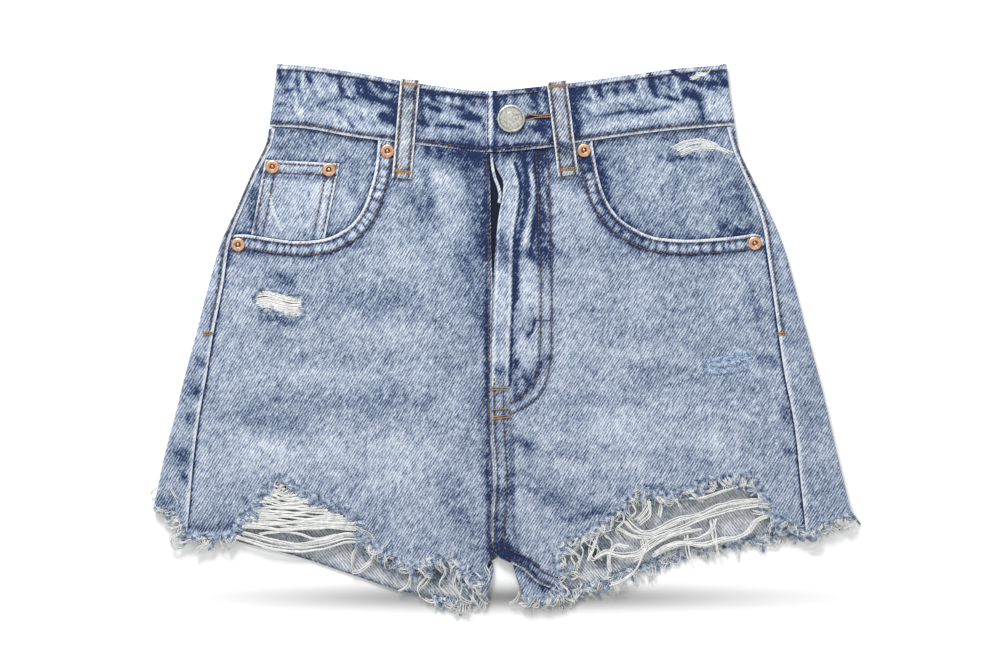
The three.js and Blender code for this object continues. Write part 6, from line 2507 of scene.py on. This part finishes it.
    def loop_height(self, start: Array, end: Array) -> Height:
        """The outer face of a front belt loop, which steps down from the band.

        Args:
            start: its upper end.
            end: its lower end.

        Returns:
            The height as a function of x and y.
        """
        band_edge = float(FORM.waist_seam((start[0] + end[0]) / 2))

        def over(x: Array, y: Array) -> Array:
            """Height at points.

            Args:
                x: the points' x.
                y: the points' y.

            Returns:
                The height at each point.
            """
            on_band = np.where(x > 0, FORM.band_top(x, True), FORM.band_top(x, False))
            step = smooth(band_edge - 9, band_edge - 1, y)
            return mix(FORM.seam_top(x, y), on_band, step) + GAP + LOOP_WALL

        return over

    def loop(self, name: str, start: Sequence[float], end: Sequence[float], width: float) -> Piece:
        """One front belt loop, folded in three, with rolled edges.

        Args:
            name: its CAD node.
            start: its upper end.
            end: its lower end.
            width: its width.

        Returns:
            The piece.
        """
        start, end = np.array(start, float), np.array(end, float)
        over = self.loop_height(start, end)
        along, u = np.linspace(0, 1, 64), np.linspace(-1, 1, 15)
        reach = end - start
        length = np.linalg.norm(reach)
        side = np.array([-reach[1], reach[0]]) / length
        centre = start + reach * along[:, None]
        outer, within = np.zeros((64, 15, 3)), np.zeros((64, 15, 3))
        edge = np.minimum(along, 1 - along) * length
        for k, share in enumerate(u):
            x, y = (centre + side * share * width / 2).T
            z = over(x, y)
            away = (1 - abs(share)) * width / 2
            fall = 0.55 * (1 - smooth(0, 1.6, away)) + 0.4 * (1 - smooth(0, 1.4, edge))
            groove = 0.22 * bell(away - 2.2, 0.7)
            bulge = 0.12 * np.sin(y * 0.9 + share * 2)
            outer[:, k] = stack(x, y, z - fall - groove + bulge * (away > 1))
            within[:, k] = stack(x, y, z - LOOP_WALL)
        points, faces, lined = wall_between(outer, within)
        x, y = outer.reshape(-1, 3)[:, :2].T
        away = width / 2 - np.abs(beside(np.array([start, end]), x, y)[0])
        dark, spread = (168.5, 4.5) if start[0] < 0 else (130.5, 7.5)
        wash = lines_beside(away, (0, 1.0, 0.5), (2.3, 0.9, -0.62)) + 0.05
        wash = wash - 0.2 * bell(y - 160, 9) * (0.5 + 0.5 * np.sin(y * 0.5))
        wash = wash - 0.6 * bell(y - dark, spread) * (away > 2.6)
        wash = wash - 0.4 * bell(y - (end[1] + 5.5), 1.6) * (away > 1.2)
        shell = Shell(points, faces, lined, np.concatenate([wash, np.zeros_like(wash)]))
        piece = shell.make(f"{name}_strip", Finish.LOOP)
        path, row = evenly([start + reach * 0.03, start + reach * 0.96], SEAM_STEP), width / 2 - 2.1
        self.seams += [Seam(path, [-row], over), Seam(path, [row], over)]
        half = side * (width / 2 - 1.4)
        for spot in (start + reach * 0.045, start + reach * 0.935):
            bar = evenly([spot - half, spot + half], 1.0)
            self.seams.append(Seam(bar, [-0.5, 0.5], over, True))
        return dress(piece, "denim_band", name, cut=(width * MM, 0.072, width * MM * 0.071))

    def build(self) -> list[Piece]:
        """Makes the band and its front loops, and notes their topstitching.

        Returns:
            The pieces.
        """
        piece = self.shell().make("waistband_cloth", Finish.BAND, Finish.LINING)
        made = [dress(piece, "denim_band", "waistband", cut=(0.69, 0.043, 0.0288))]
        made += [self.loop(*loop) for loop in FRONT_LOOPS]
        for start, end, lower, on_top in ((-156.5, -12.5, -161, False), (-4, 155.5, 160.5, True)):
            x = np.linspace(start, end, round((end - start) / SEAM_STEP))
            wide = np.linspace(min(start, lower), max(end, lower), len(x))

            def over(x: Array, y: Array, on_top: bool = on_top) -> Array:
                """Height of the band's outer face."""
                return FORM.band_top(x, on_top) - 0.1

            low = stack(wide, FORM.waist_seam(wide) + BAND_ROWS[0])
            high = stack(x, FORM.waist_top(x) - BAND_ROWS[1])
            self.seams += [Seam(low, [0], over), Seam(high, [0], over)]
        y = np.linspace(131.5, 166, 24)
        end = stack(np.full_like(y, OVERLAP_END + 1.0), y)
        self.seams.append(Seam(end, [0], FORM.band_over))
        for prong in (
            ((524, 111.6), (529, 114.2), (535, 115.6), (542, 115.6), (549, 115)),
            ((525, 121.6), (530, 119.8), (536, 118), (543, 117.4), (549.5, 117.2)),
        ):
            path = curve(view(prong), 1.0)
            self.seams.append(Seam(path, [0], lambda x, y: FORM.band_top(x, True) - 0.2, True))
        return made


@dataclass
class Trims:
    """Rivets, button, zip and fly shield."""

    def rivet(self, name: str, x: float, y: float) -> Piece:
        """One rivet cap with its burr.

        Args:
            name: its CAD node.
            x: where it sits.
            y: the same.

        Returns:
            The piece.
        """
        at = np.array([float(x)]), np.array([float(y)])
        seat = FORM.coin_top(*at) if name.startswith("rivet_coin") else FORM.seam_top(*at)
        profile = (
            (0, 0, 0), (RIVET_R - 0.2, 0, 0), (RIVET_R, 0.25, 0), (RIVET_R - 0.05, 0.6, 0),
            (RIVET_R - 0.3, 0.95, 0), (4.0, 1.18, 0), (3.2, 1.24, 0), (2.3, 1.2, 0.1),
            (1.85, 1.05, 0.7), (1.6, 0.72, 1), (1.25, 0.66, 1), (1.0, 0.9, 0.5), (0.75, 1.12, 0.2),
            (0.4, 1.2, 0.3), (0, 1.2, 0.3),
        )
        shell = lathe(profile, 36, (x, y, float(seat[0]) + GAP))
        return dress(shell.make(f"{name}_cap", Finish.COPPER), "copper", name)

    def button(self) -> Piece:
        """The button, with a rolled rim and a plain raised ring.

        Returns:
            The piece.
        """
        profile = (
            (0, 0, 0), (3.0, 0, 0), (3.2, 0.2, 0), (3.2, 3.0, 0), (4.0, 3.2, 0), (8.9, 3.25, 0),
            (9.55, 3.6, 0), (9.75, 4.05, 0), (9.6, 4.55, 0), (9.15, 4.9, 0), (8.6, 5.0, 0),
            (8.15, 4.86, 0.5), (7.9, 4.78, 0.7), (7.5, 4.84, 0.25), (6.4, 4.98, 0), (5.4, 5.04, 0),
            (5.15, 4.94, 0.4), (4.9, 5.04, 0.05), (3.4, 5.12, 0), (1.8, 5.16, 0), (0, 5.18, 0),
        )
        shell = lathe(profile, 72, (*BUTTON_AT, UNDERLAP_TOP + GAP))
        return dress(shell.make("button_cap", Finish.NICKEL), "nickel", "button")

    def build(self) -> list[Piece]:
        """Makes the trims.

        Returns:
            The pieces.
        """
        made = [self.rivet(*rivet) for rivet in RIVETS] + [self.button()]

        def shield_top(x: Array, y: Array) -> Array:
            """Outer face of the fly shield."""
            return np.minimum(4.3, FORM.front_top(x, y) - WALL - 2 * GAP - ZIP_WALL)

        def tape_top(x: Array, y: Array) -> Array:
            """Outer face of the zip, with its row of teeth."""
            teeth = 0.16 * np.sin(y * 2.2) * bell(x + 1.5, 2.0)
            return np.minimum(FORM.front_top(x, y) - WALL - GAP, 5.9) + teeth - 0.1

        corners = ((-26, 110), (20, 110), (20, -30), (10, -48), (-16, -48), (-26, -30), (-26, 110))
        shield = Drape(evenly(corners, 2.5)[:-1], shield_top, PATCH_WALL, 3.0).shell()
        # Painted shade: the fly shield is darkened where it shows in the fly's gap
        shield.wash = shield.wash - 0.45
        piece = shield.make("fly_shield_cloth", Finish.BACK, Finish.LINING)
        made.append(dress(piece, "denim_back", "fly_shield", cut=(0.046, 0.158, 0.00695)))
        line = ((491.2, 153), (492.4, 166), (495, 178), (498.4, 187), (500, 195), (499, 203))
        path = curve(view(line), TORN_STEP)
        ribbon = joined(shifted(path, -1.0), shifted(path, 1.0)[::-1])
        facing = Drape(ribbon, lambda x, y: FORM.front_top(x, y) - 0.9, 0.7, 0.9, rim=0.2).shell()
        facing.wash = facing.wash + 0.25
        edge = dress(facing.make("fly_facing_edge", Finish.FRONT), "denim_front")
        made.append(edge)
        corners = ((-9.4, 129), (3, 129), (6, 110), (6, -36), (-9, -36), (-9.4, 129))
        tape = Drape(evenly(corners, SEAM_STEP)[:-1], tape_top, ZIP_WALL, 1.5).shell()
        piece = tape.make("zip_tape_cloth", Finish.TAPE)
        made.append(dress(piece, "zip_tape", "zip", cut=(0.0155, 0.166, 0.00245), carried=[edge]))
        return made


@dataclass
class Threads:
    """Topstitching, bare weft in the rips, and the frayed hems."""

    needle: Needle = field(default_factory=Needle)

    def over_front(self, path: Line, proud: float) -> Line:
        """A path put on the front's outer face."""
        return lifted(path, FORM.front_top, proud)

    def laid(self, paths: Iterable[Table], step: float, proud: float) -> list[Line]:
        """Curves through places in view pixels, put on the front's outer face."""
        return [self.over_front(curve(view(path), step), proud) for path in paths]

    def strands(
        self, name: str, guides: Sequence[Line], finish: Finish, sizes: Sequence[float], seed: int
    ) -> Piece:
        """Makes one piece of wavy threads.

        Args:
            name: the piece's name.
            guides: lines that the threads follow.
            finish: their finish.
            sizes: threads for each line, spread, rise, wave and radius in metres.
            seed: the draw.

        Returns:
            The piece.
        """
        values = dict(zip(STRAND_SIZES, sizes), Seed=seed)
        return self.needle.sew(name, Craft.STRANDS, guides, finish, values)

    def stitch(self, seams: Sequence[Seam]) -> list[Piece]:
        """All topstitching and bartacks.

        Args:
            seams: the rows of stitching.

        Returns:
            The two pieces.
        """
        brown = [line for seam in seams if not seam.gold for line in seam.lines()]
        gold = [line for seam in seams if seam.gold for line in seam.lines()]
        for bar in (
            ((-6.6, -36.5), (3.5, -36.5)), ((-7, -38), (3.2, -38)), ((-7, -52), (4.5, -51)),
            ((-6, -58.5), (5, -57)), ((-6.4, -57), (4.6, -55.6)), ((-209, 2), (-203.4, 2.4)),
            ((-209, 0.6), (-203.4, 1)), ((193, 1.8), (198, 1.6)), ((193, 0.6), (198, 0.4)),
        ):
            gold.append(self.over_front(evenly(bar, 0.7), 1.0))
        sizes = {"Pitch": 0.0030, "Length": 0.0029, "Thickness": 0.0011, "Seed": 3}
        first = self.needle.sew("topstitching_brown", Craft.STITCHES, brown, Finish.BROWN, sizes)
        sizes = {"Pitch": 0.0013, "Length": 0.0017, "Thickness": 0.0010, "Seed": 4}
        second = self.needle.sew("bartacks_golden", Craft.STITCHES, gold, Finish.GOLD, sizes)
        return [dress(first, "denim_front"), dress(second, "denim_front")]

    def fan(self) -> list[Line]:
        """The weft threads that span the right rip.

        Returns:
            A line for each thread.
        """
        random = np.random.default_rng(17)
        left = np.array([*RIGHT_RIP[:5], (-158, -104)])
        right = np.array([*RIGHT_RIP[:-8:-1], (-155, -105)])
        guides = []
        for k, level in enumerate(np.arange(-105.3, -134.8, -1.5)):
            x0 = np.interp(level, left[:, 1], left[:, 0]) - 1.5
            x1 = np.interp(level + 1.5, right[:, 1], right[:, 0]) + 1.5
            t = np.linspace(0, 1, 14)
            sag = -1.2 * np.sin(math.pi * t) + 0.55 * np.sin(t * 9 + 1.7 * k)
            sag = sag + 0.4 * np.sin(t * 17 + 2.3 * k)
            y = level + sag + random.uniform(-0.25, 0.25) + random.uniform(-0.12, 0.12, 14)
            guides.append(stack(mix(x0, x1, t), y))
        return guides

    def weft(self) -> list[Piece]:
        """Bare weft in the rips.

        Returns:
            The pieces.
        """
        cream = [self.over_front(path, -0.35) for path in self.fan()]
        lowest = (
            ((-187, -140), (-175, -143.5), (-160, -147.5), (-142, -149), (-124, -146.5),
             (-110, -142.5), (-99, -143)),
            ((-184, -138), (-172, -141.5), (-158, -145.5), (-142, -147), (-122, -143.5),
             (-110, -140), (-99, -140.5)),
            ((-180, -134), (-168, -134.5), (-150, -136), (-132, -133.5), (-118, -134.5),
             (-102, -136)),
            ((-178, -131.5), (-160, -132.5), (-140, -130.5), (-120, -131.5), (-104, -132)),
            ((-186, -141), (-174, -145), (-160, -149.4), (-142, -151), (-124, -149),
             (-110, -144.6), (-99, -144.6)),
            ((-182, -137), (-170, -139.8), (-156, -143.4), (-142, -145), (-122, -141.2),
             (-110, -138), (-100, -139)),
            ((-170, -139), (-156, -137.4), (-142, -139), (-130, -142.4), (-116, -139.6)),
        )
        cream += [self.over_front(curve(path, 2), -0.3) for path in lowest]
        small = []
        for k in range(7):
            y0, y1 = 29.6 - 1.7 * k, 26.4 - 1.95 * k
            bend = 1.1 * math.sin(k * 1.3)
            path = (
                (-172.5, y0), (-164, y0 + 0.6 + bend * 0.4), (-154, (y0 + y1) / 2 - 0.5),
                (-147, y1 - bend * 0.5), (-141, y1),
            )
            small.append(self.over_front(curve(path, 2), -0.3))
        fan, rip = (4, 0.0008, 0.0004, 0.0007, 0.00045), (5, 0.0010, 0.0003, 0.0007, 0.00042)
        made = [
            self.strands("weft_fan_right", cream, Finish.WHITE, fan, 7),
            self.strands("weft_small_rip", small, Finish.WHITE, rip, 8),
            self.left_weft(), self.worn_threads(),
        ]
        return [dress(piece, "fray") for piece in made]

    def left_weft(self) -> Piece:
        """The loose bundles across the left rip.

        Returns:
            The piece.
        """
        paths = (
            ((751, 481), (738, 486), (720, 491), (704, 496), (690, 497)),
            ((752, 483), (736, 488), (722, 493), (708, 498), (692, 499)),
            ((762, 500), (744, 501), (722, 505), (700, 515), (678, 519), (662, 527), (648, 533),
             (636, 528), (628, 519)),
            ((762, 502), (744, 504), (724, 507), (706, 514), (684, 521), (664, 530), (648, 535),
             (634, 532), (624, 522)),
            ((760, 505), (740, 508), (716, 514), (700, 519), (684, 526), (666, 532), (650, 537),
             (634, 536), (618, 528)),
            ((768, 517), (756, 522), (748, 532), (738, 538), (722, 539), (704, 544), (684, 542),
             (668, 546), (656, 553)),
            ((770, 515), (758, 519), (750, 530), (740, 536), (722, 541), (704, 546), (684, 544),
             (666, 549), (654, 556)),
            ((690, 527), (670, 533), (652, 541), (638, 552), (622, 555), (606, 551), (596, 558)),
            ((700, 530), (672, 536), (654, 545), (640, 555), (622, 558), (604, 554), (592, 560),
             (588, 552)),
            ((716, 520), (712, 530), (700, 538), (684, 541)), ((646, 536), (648, 545),
                                                               (644, 555), (636, 560)),
            ((641, 540), (643, 552), (640, 562), (634, 572), (622, 581), (610, 585)),
            ((636, 520), (644, 512), (650, 502)), ((640, 524), (650, 514), (648, 500)),
            ((660, 516), (662, 506), (660, 498)),
            ((686, 536), (687, 548), (690, 560)), ((715, 536), (716, 548), (718, 556)),
            ((712, 520), (714, 534), (716, 544)),
            ((628, 548), (618, 546), (612, 552), (609, 562), (611, 572)), ((604, 520),
                                                                           (598, 536),
                                                                           (592, 552), (588, 560)),
            ((750, 483), (757, 490), (761, 500), (764, 514)), ((754, 486), (762, 498),
                                                               (768, 512), (774, 520)),
        )
        guides, sizes = self.laid(paths, 2, -0.5), (4, 0.0013, 0.0004, 0.0011, 0.00042)
        return self.strands("weft_bundles_left", guides, Finish.WHITE, sizes, 9)

    def worn_threads(self) -> Piece:
        """Bare threads on the left hip and in the nick at the top of the band.

        Returns:
            The piece.
        """
        hip = (
            ((672, 148), (684, 142), (699, 139.4), (711, 142.6), (721, 150), (728, 153)),
            ((676, 150.5), (687, 145), (700, 142), (711, 145), (719, 150)),
            ((680, 153), (690, 148.4), (701, 145.6), (712, 147.6)),
            ((681, 156), (692, 151.4), (703, 149.6), (714, 149.4)),
            ((700, 139.6), (713, 143.4), (722, 149), (733, 153.4)),
        )
        nick = (
            ((691, 79), (694.5, 77.5), (697, 76), (698, 72.5), (700.5, 72)),
            ((696, 77), (701, 74.5), (704, 75.5), (707, 73), (709.5, 70)),
            ((692.5, 79.5), (697, 78), (701, 76), (706, 74.5)),
        )
        guides = []
        for paths, step, top in (
            (hip, 1.6, lambda x, y: FORM.hip_top(x, y, 1)), (nick, 1.2, FORM.band_over),
        ):
            guides += [lifted(curve(view(path), step), top, 0.1) for path in paths]
        sizes = (5, 0.0009, 0.0002, 0.0010, 0.00021)
        return self.strands("worn_threads", guides, Finish.WHITE, sizes, 12)

    def locks(
        self, path: Line, pitch: float, length: float, swing: float, curl: float, back: float,
        seed: int,
    ) -> list[Line]:
        """Bent locks that grow from a torn edge, to the right of its path.

        Args:
            path: the edge, with heights.
            pitch: how far apart the locks are.
            length: their usual length.
            swing: how far they turn from straight out, in radians.
            curl: how far they bend along their length, in radians.
            back: how far inside the edge they start.
            seed: the draw.

        Returns:
            A guide line for each lock.
        """
        random = np.random.default_rng(seed)
        at = evenly(path, pitch)
        along = np.gradient(at[:, :2], axis=0)
        guides = []
        for (x, y, z), (tx, ty) in zip(at, along):
            turn = math.atan2(-tx, ty) + random.uniform(-swing, swing)
            bend, reach = random.uniform(-curl, curl), length * random.uniform(0.5, 1.35)
            share = np.linspace(0, 1, 8)
            angle = turn + bend * share
            px = x - back * math.cos(turn) + np.cumsum(np.cos(angle)) * reach / 8
            py = y - back * math.sin(turn) + np.cumsum(np.sin(angle)) * reach / 8
            high = z + random.uniform(0.5, 1.7) * np.sin(share * 2.6) - 0.35 * z * share**2
            guides.append(stack(px, py, high))
        return guides

    def fringe(self) -> list[Piece]:
        """Tufts and loose ends along the hems and rips.

        Returns:
            The pieces.
        """
        hems = (RIGHT_OUTER_HEM, RIGHT_INNER_HEM, LEFT_FRONT_HEM)
        fronts = [self.over_front(curve(hem, SEAM_STEP), -0.3) for hem in hems]
        rips = [curve(RIGHT_RIP, SEAM_STEP), evenly(closed(SMALL_RIP), SEAM_STEP)]
        rips = [self.over_front(path, -0.1) for path in rips]
        patch = self.laid((
            ((706, 371), (722, 373), (742, 369), (752, 362)), ((706, 367), (728, 364), (752, 358)),
            ((705, 363), (726, 358), (751, 354)),
        ), 2, 0.1)
        backs = (LEFT_BACK_HEM, [row for row in RIGHT_BACK_HEM if row["x"] > -60])
        lows = [lifted(curve([tuple(row.values()) for row in hem], 2), 0.9) for hem in backs]
        sides = [lifted(evenly(path, SEAM_STEP), height) for path, height in (
            (((-240, -120.5), (-234.8, -121.3), (-226.5, -125.8), (-222.5, -134)), 5.6),
            (((214, -136.5), (228, -130.6), (243, -124.5)), 5.6),
            (((15, -183), (24, -183.4), (41, -182)), 5.2),
        )]
        nodes = [f"fringe_front_{part}" for part in (
            "right_outer", "right_inner", "left_inner", "left_outer",
        )]
        low_nodes = ["fringe_back_right", "fringe_back_left"]
        side_nodes = ["fringe_side_right", "fringe_side_left"]
        jobs = (
            ("hem_locks_blue", Finish.BLUE, fronts, nodes, (1.05, 13.0, 0.8, 3.0, 4.6), 31),
            ("hem_locks_white", Finish.WHITE, fronts, [], (3.4, 12.0, 0.8, 2.6, 1.6), 32),
            ("rip_locks_blue", Finish.BLUE, rips[:1], [], (0.95, 10.5, 1.1, 3.8, 7.6), 33),
            ("small_rip_locks_blue", Finish.BLUE, [rips[1]], [], (1.3, 4.4, 1.4, 4.0, 3.6), 38),
            ("abraded_patch_locks", Finish.SKY, patch, [], (1.0, 5.0, 1.6, 2.4, 2.6), 39),
            ("back_hem_locks_white", Finish.WHITE, lows, low_nodes, (2.2, 11.0, 0.8, 2.4, 1.6), 34),
            ("back_hem_locks_blue", Finish.BLUE, lows, [], (1.4, 9.5, 0.8, 2.6, 2.0), 35),
            ("side_hem_locks_blue", Finish.BLUE, sides, side_nodes, (1.1, 9.5, 0.8, 2.6, 3.2), 36),
            ("side_hem_locks_white", Finish.WHITE, sides, [], (2.2, 10.5, 0.7, 2.4, 1.0), 37),
        )
        made = []
        for name, finish, edges, stands_for, lie, seed in jobs:
            guides = []
            for k, edge in enumerate(edges):
                guides += self.locks(edge, *lie, seed * 10 + k)
            loose = (0.0034, 0.00027) if finish is Finish.WHITE else (0.0020, 0.00032)
            piece = self.strands(name, guides, finish, (5, 0.0009, 0.0005, *loose), seed)
            made.append(dress(piece, "fray", *stands_for))
        edges = [*fronts, *rips, *lows, *sides]
        fuzz = {
            "Spacing": 0.0007, "Length": 0.0055, "Radius": 0.00016, "Bend": 0.7, "Fan": 0.9,
            "Lift": 0.45, "Shift": 0.0012, "Seed": 11,
        }
        piece = self.needle.sew("hem_fuzz_white", Craft.TUFTS, edges, Finish.WHITE, fuzz)
        return [*made, dress(piece, "fray"), dress(self.loose_ends(), "fray")]

    def loose_ends(self) -> Piece:
        """Long threads that curl below the hems.

        Returns:
            The piece.
        """
        paths = (
            ((355, 527), (369, 535), (375, 546), (373, 560), (360, 571), (352, 573)),
            ((362, 540), (355, 550), (352, 562), (354, 573)), ((366, 538), (372, 550),
                                                               (370, 560), (362, 566)),
            ((405, 562), (410, 575), (407, 587), (398, 592)),
            ((433, 557), (422, 562), (427, 575), (418, 587), (421, 598)), ((436, 556),
                                                                           (425, 563),
                                                                           (430, 577), (420, 590)),
            ((451, 557), (456, 571), (462, 587), (460, 598), (471, 604)), ((455, 560),
                                                                           (460, 578),
                                                                           (469, 593), (478, 605)),
            ((448, 558), (452, 572), (456, 590), (466, 602)), ((470, 565), (466, 580),
                                                               (474, 592), (472, 604)),
            ((590, 538), (578, 545), (570, 556), (574, 566), (566, 576), (560, 586)),
            ((586, 536), (572, 543), (566, 553), (560, 566)),
            ((562, 560), (570, 570), (578, 577), (568, 580)), ((566, 552), (560, 562),
                                                               (570, 574), (582, 578)),
            ((600, 530), (592, 542), (590, 556), (596, 566)), ((575, 538), (584, 550),
                                                               (580, 562), (572, 570)),
            ((562, 546), (572, 550), (580, 560), (576, 572), (584, 580)), ((558, 552),
                                                                           (566, 560),
                                                                           (562, 572), (572, 582)),
            ((580, 534), (588, 544), (598, 548), (602, 560)), ((596, 526), (590, 536),
                                                               (598, 548), (594, 560)),
            ((606, 520), (604, 532), (612, 542), (610, 554)), ((560, 584), (568, 590),
                                                               (566, 598), (574, 602)),
            ((563, 586), (570, 594), (562, 600), (570, 604)), ((630, 500), (636, 512),
                                                               (628, 520), (634, 530)),
            ((618, 508), (624, 520), (616, 530), (622, 540)), ((486, 566), (490, 578),
                                                               (482, 590), (488, 600)),
            ((440, 560), (446, 572), (440, 584), (448, 596)), ((476, 572), (484, 582),
                                                               (478, 594), (486, 604)),
            ((172, 488), (178, 500), (181, 516), (178, 530)), ((150, 494), (154, 488),
                                                               (160, 491), (158, 498), (151, 500)),
            ((182, 520), (178, 534), (173, 541), (176, 548), (184, 546), (186, 539)),
            ((176, 532), (170, 540), (174, 549), (183, 547)),
            ((780, 520), (776, 528), (782, 536), (788, 532)), ((812, 534), (806, 541),
                                                               (800, 540)), ((820, 538),
                                                                             (815, 546),
                                                                             (808, 549)),
            ((845, 528), (854, 524), (858, 519)), ((520, 592), (516, 600), (510, 604)),
            ((548, 592), (556, 600), (566, 598)),
        )
        guides = self.laid(paths, 2, 0.1)
        for guide in guides:
            guide[:, 2] *= 1 - 0.55 * np.linspace(0, 1, len(guide)) ** 2
        sizes = (3, 0.0009, 0.0004, 0.0012, 0.0003)
        return self.strands("loose_threads", guides, Finish.WHITE, sizes, 19)


@dataclass
class Studio:
    """Floor, light and the camera that looks straight down."""

    lens: float = 100.0
    sensor: float = 36.0
    frame_width: float = 1008 * VIEW_SCALE
    frame_height: float = 6.0
    floor_reach: float = 1.6
    floor_z: float = -0.0004

    def camera(self) -> None:
        """Places the camera so that the floor keeps the view's scale."""
        data = bpy.data.cameras.new("camera")
        data.lens, data.sensor_width = self.lens, self.sensor
        data.clip_start, data.clip_end = 0.01, 20
        made = linked("camera", data)
        away = self.frame_width * self.lens / self.sensor + self.frame_height
        made.location = (1.05 * MM, -0.35 * MM, away * MM)
        bpy.context.scene.camera = made

    def light(self, name: str, place: Sequence[float], size: float, power: float) -> None:
        """One square soft light that points at the shorts.

        Args:
            name: its name.
            place: where it hangs, in metres.
            size: its width in metres.
            power: its power in watts.
        """
        data = bpy.data.lights.new(name, "AREA")
        data.size, data.energy = size, power
        made = linked(name, data)
        made.location = place
        made.rotation_euler = (-Vector(place)).to_track_quat("-Z", "Y").to_euler()

    def build(self) -> None:
        """Sets up the studio."""
        self.camera()
        mesh = bpy.data.meshes.new("floor")
        corners = ((-1, -1), (1, -1), (1, 1), (-1, 1))
        points = [(x * self.floor_reach, y * self.floor_reach, self.floor_z) for x, y in corners]
        mesh.from_pydata(points, [], [(0, 1, 2, 3)])
        mesh.materials.append(Floor().build())
        linked("floor", mesh)
        self.light("key", (-0.35, 1.15, 0.9), 0.5, 22)
        self.light("fill", (0.5, -0.9, 1.6), 1.6, 3)
        world = bpy.data.worlds.new("studio")
        world.use_nodes = True
        sky = world.node_tree.nodes["Background"].inputs
        sky["Color"].default_value, sky["Strength"].default_value = (1, 1, 1, 1), 0.72
        bpy.context.scene.world = world
        bpy.context.scene.view_settings.view_transform = "Standard"


def main() -> None:
    """Builds the shorts around the frame."""
    logging.basicConfig(level=logging.INFO, format="%(message)s", stream=sys.stdout)
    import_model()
    Studio().build()
    threads = Threads()
    fronts, hips, backs, band = Fronts(), Hips(), Backs(), Waistband()
    for part in (fronts, hips, backs, band, Trims()):
        part.build()
    threads.stitch([seam for part in (fronts, hips, backs, band) for seam in part.seams])
    threads.weft()
    threads.fringe()


if __name__ == "__main__":
    main()
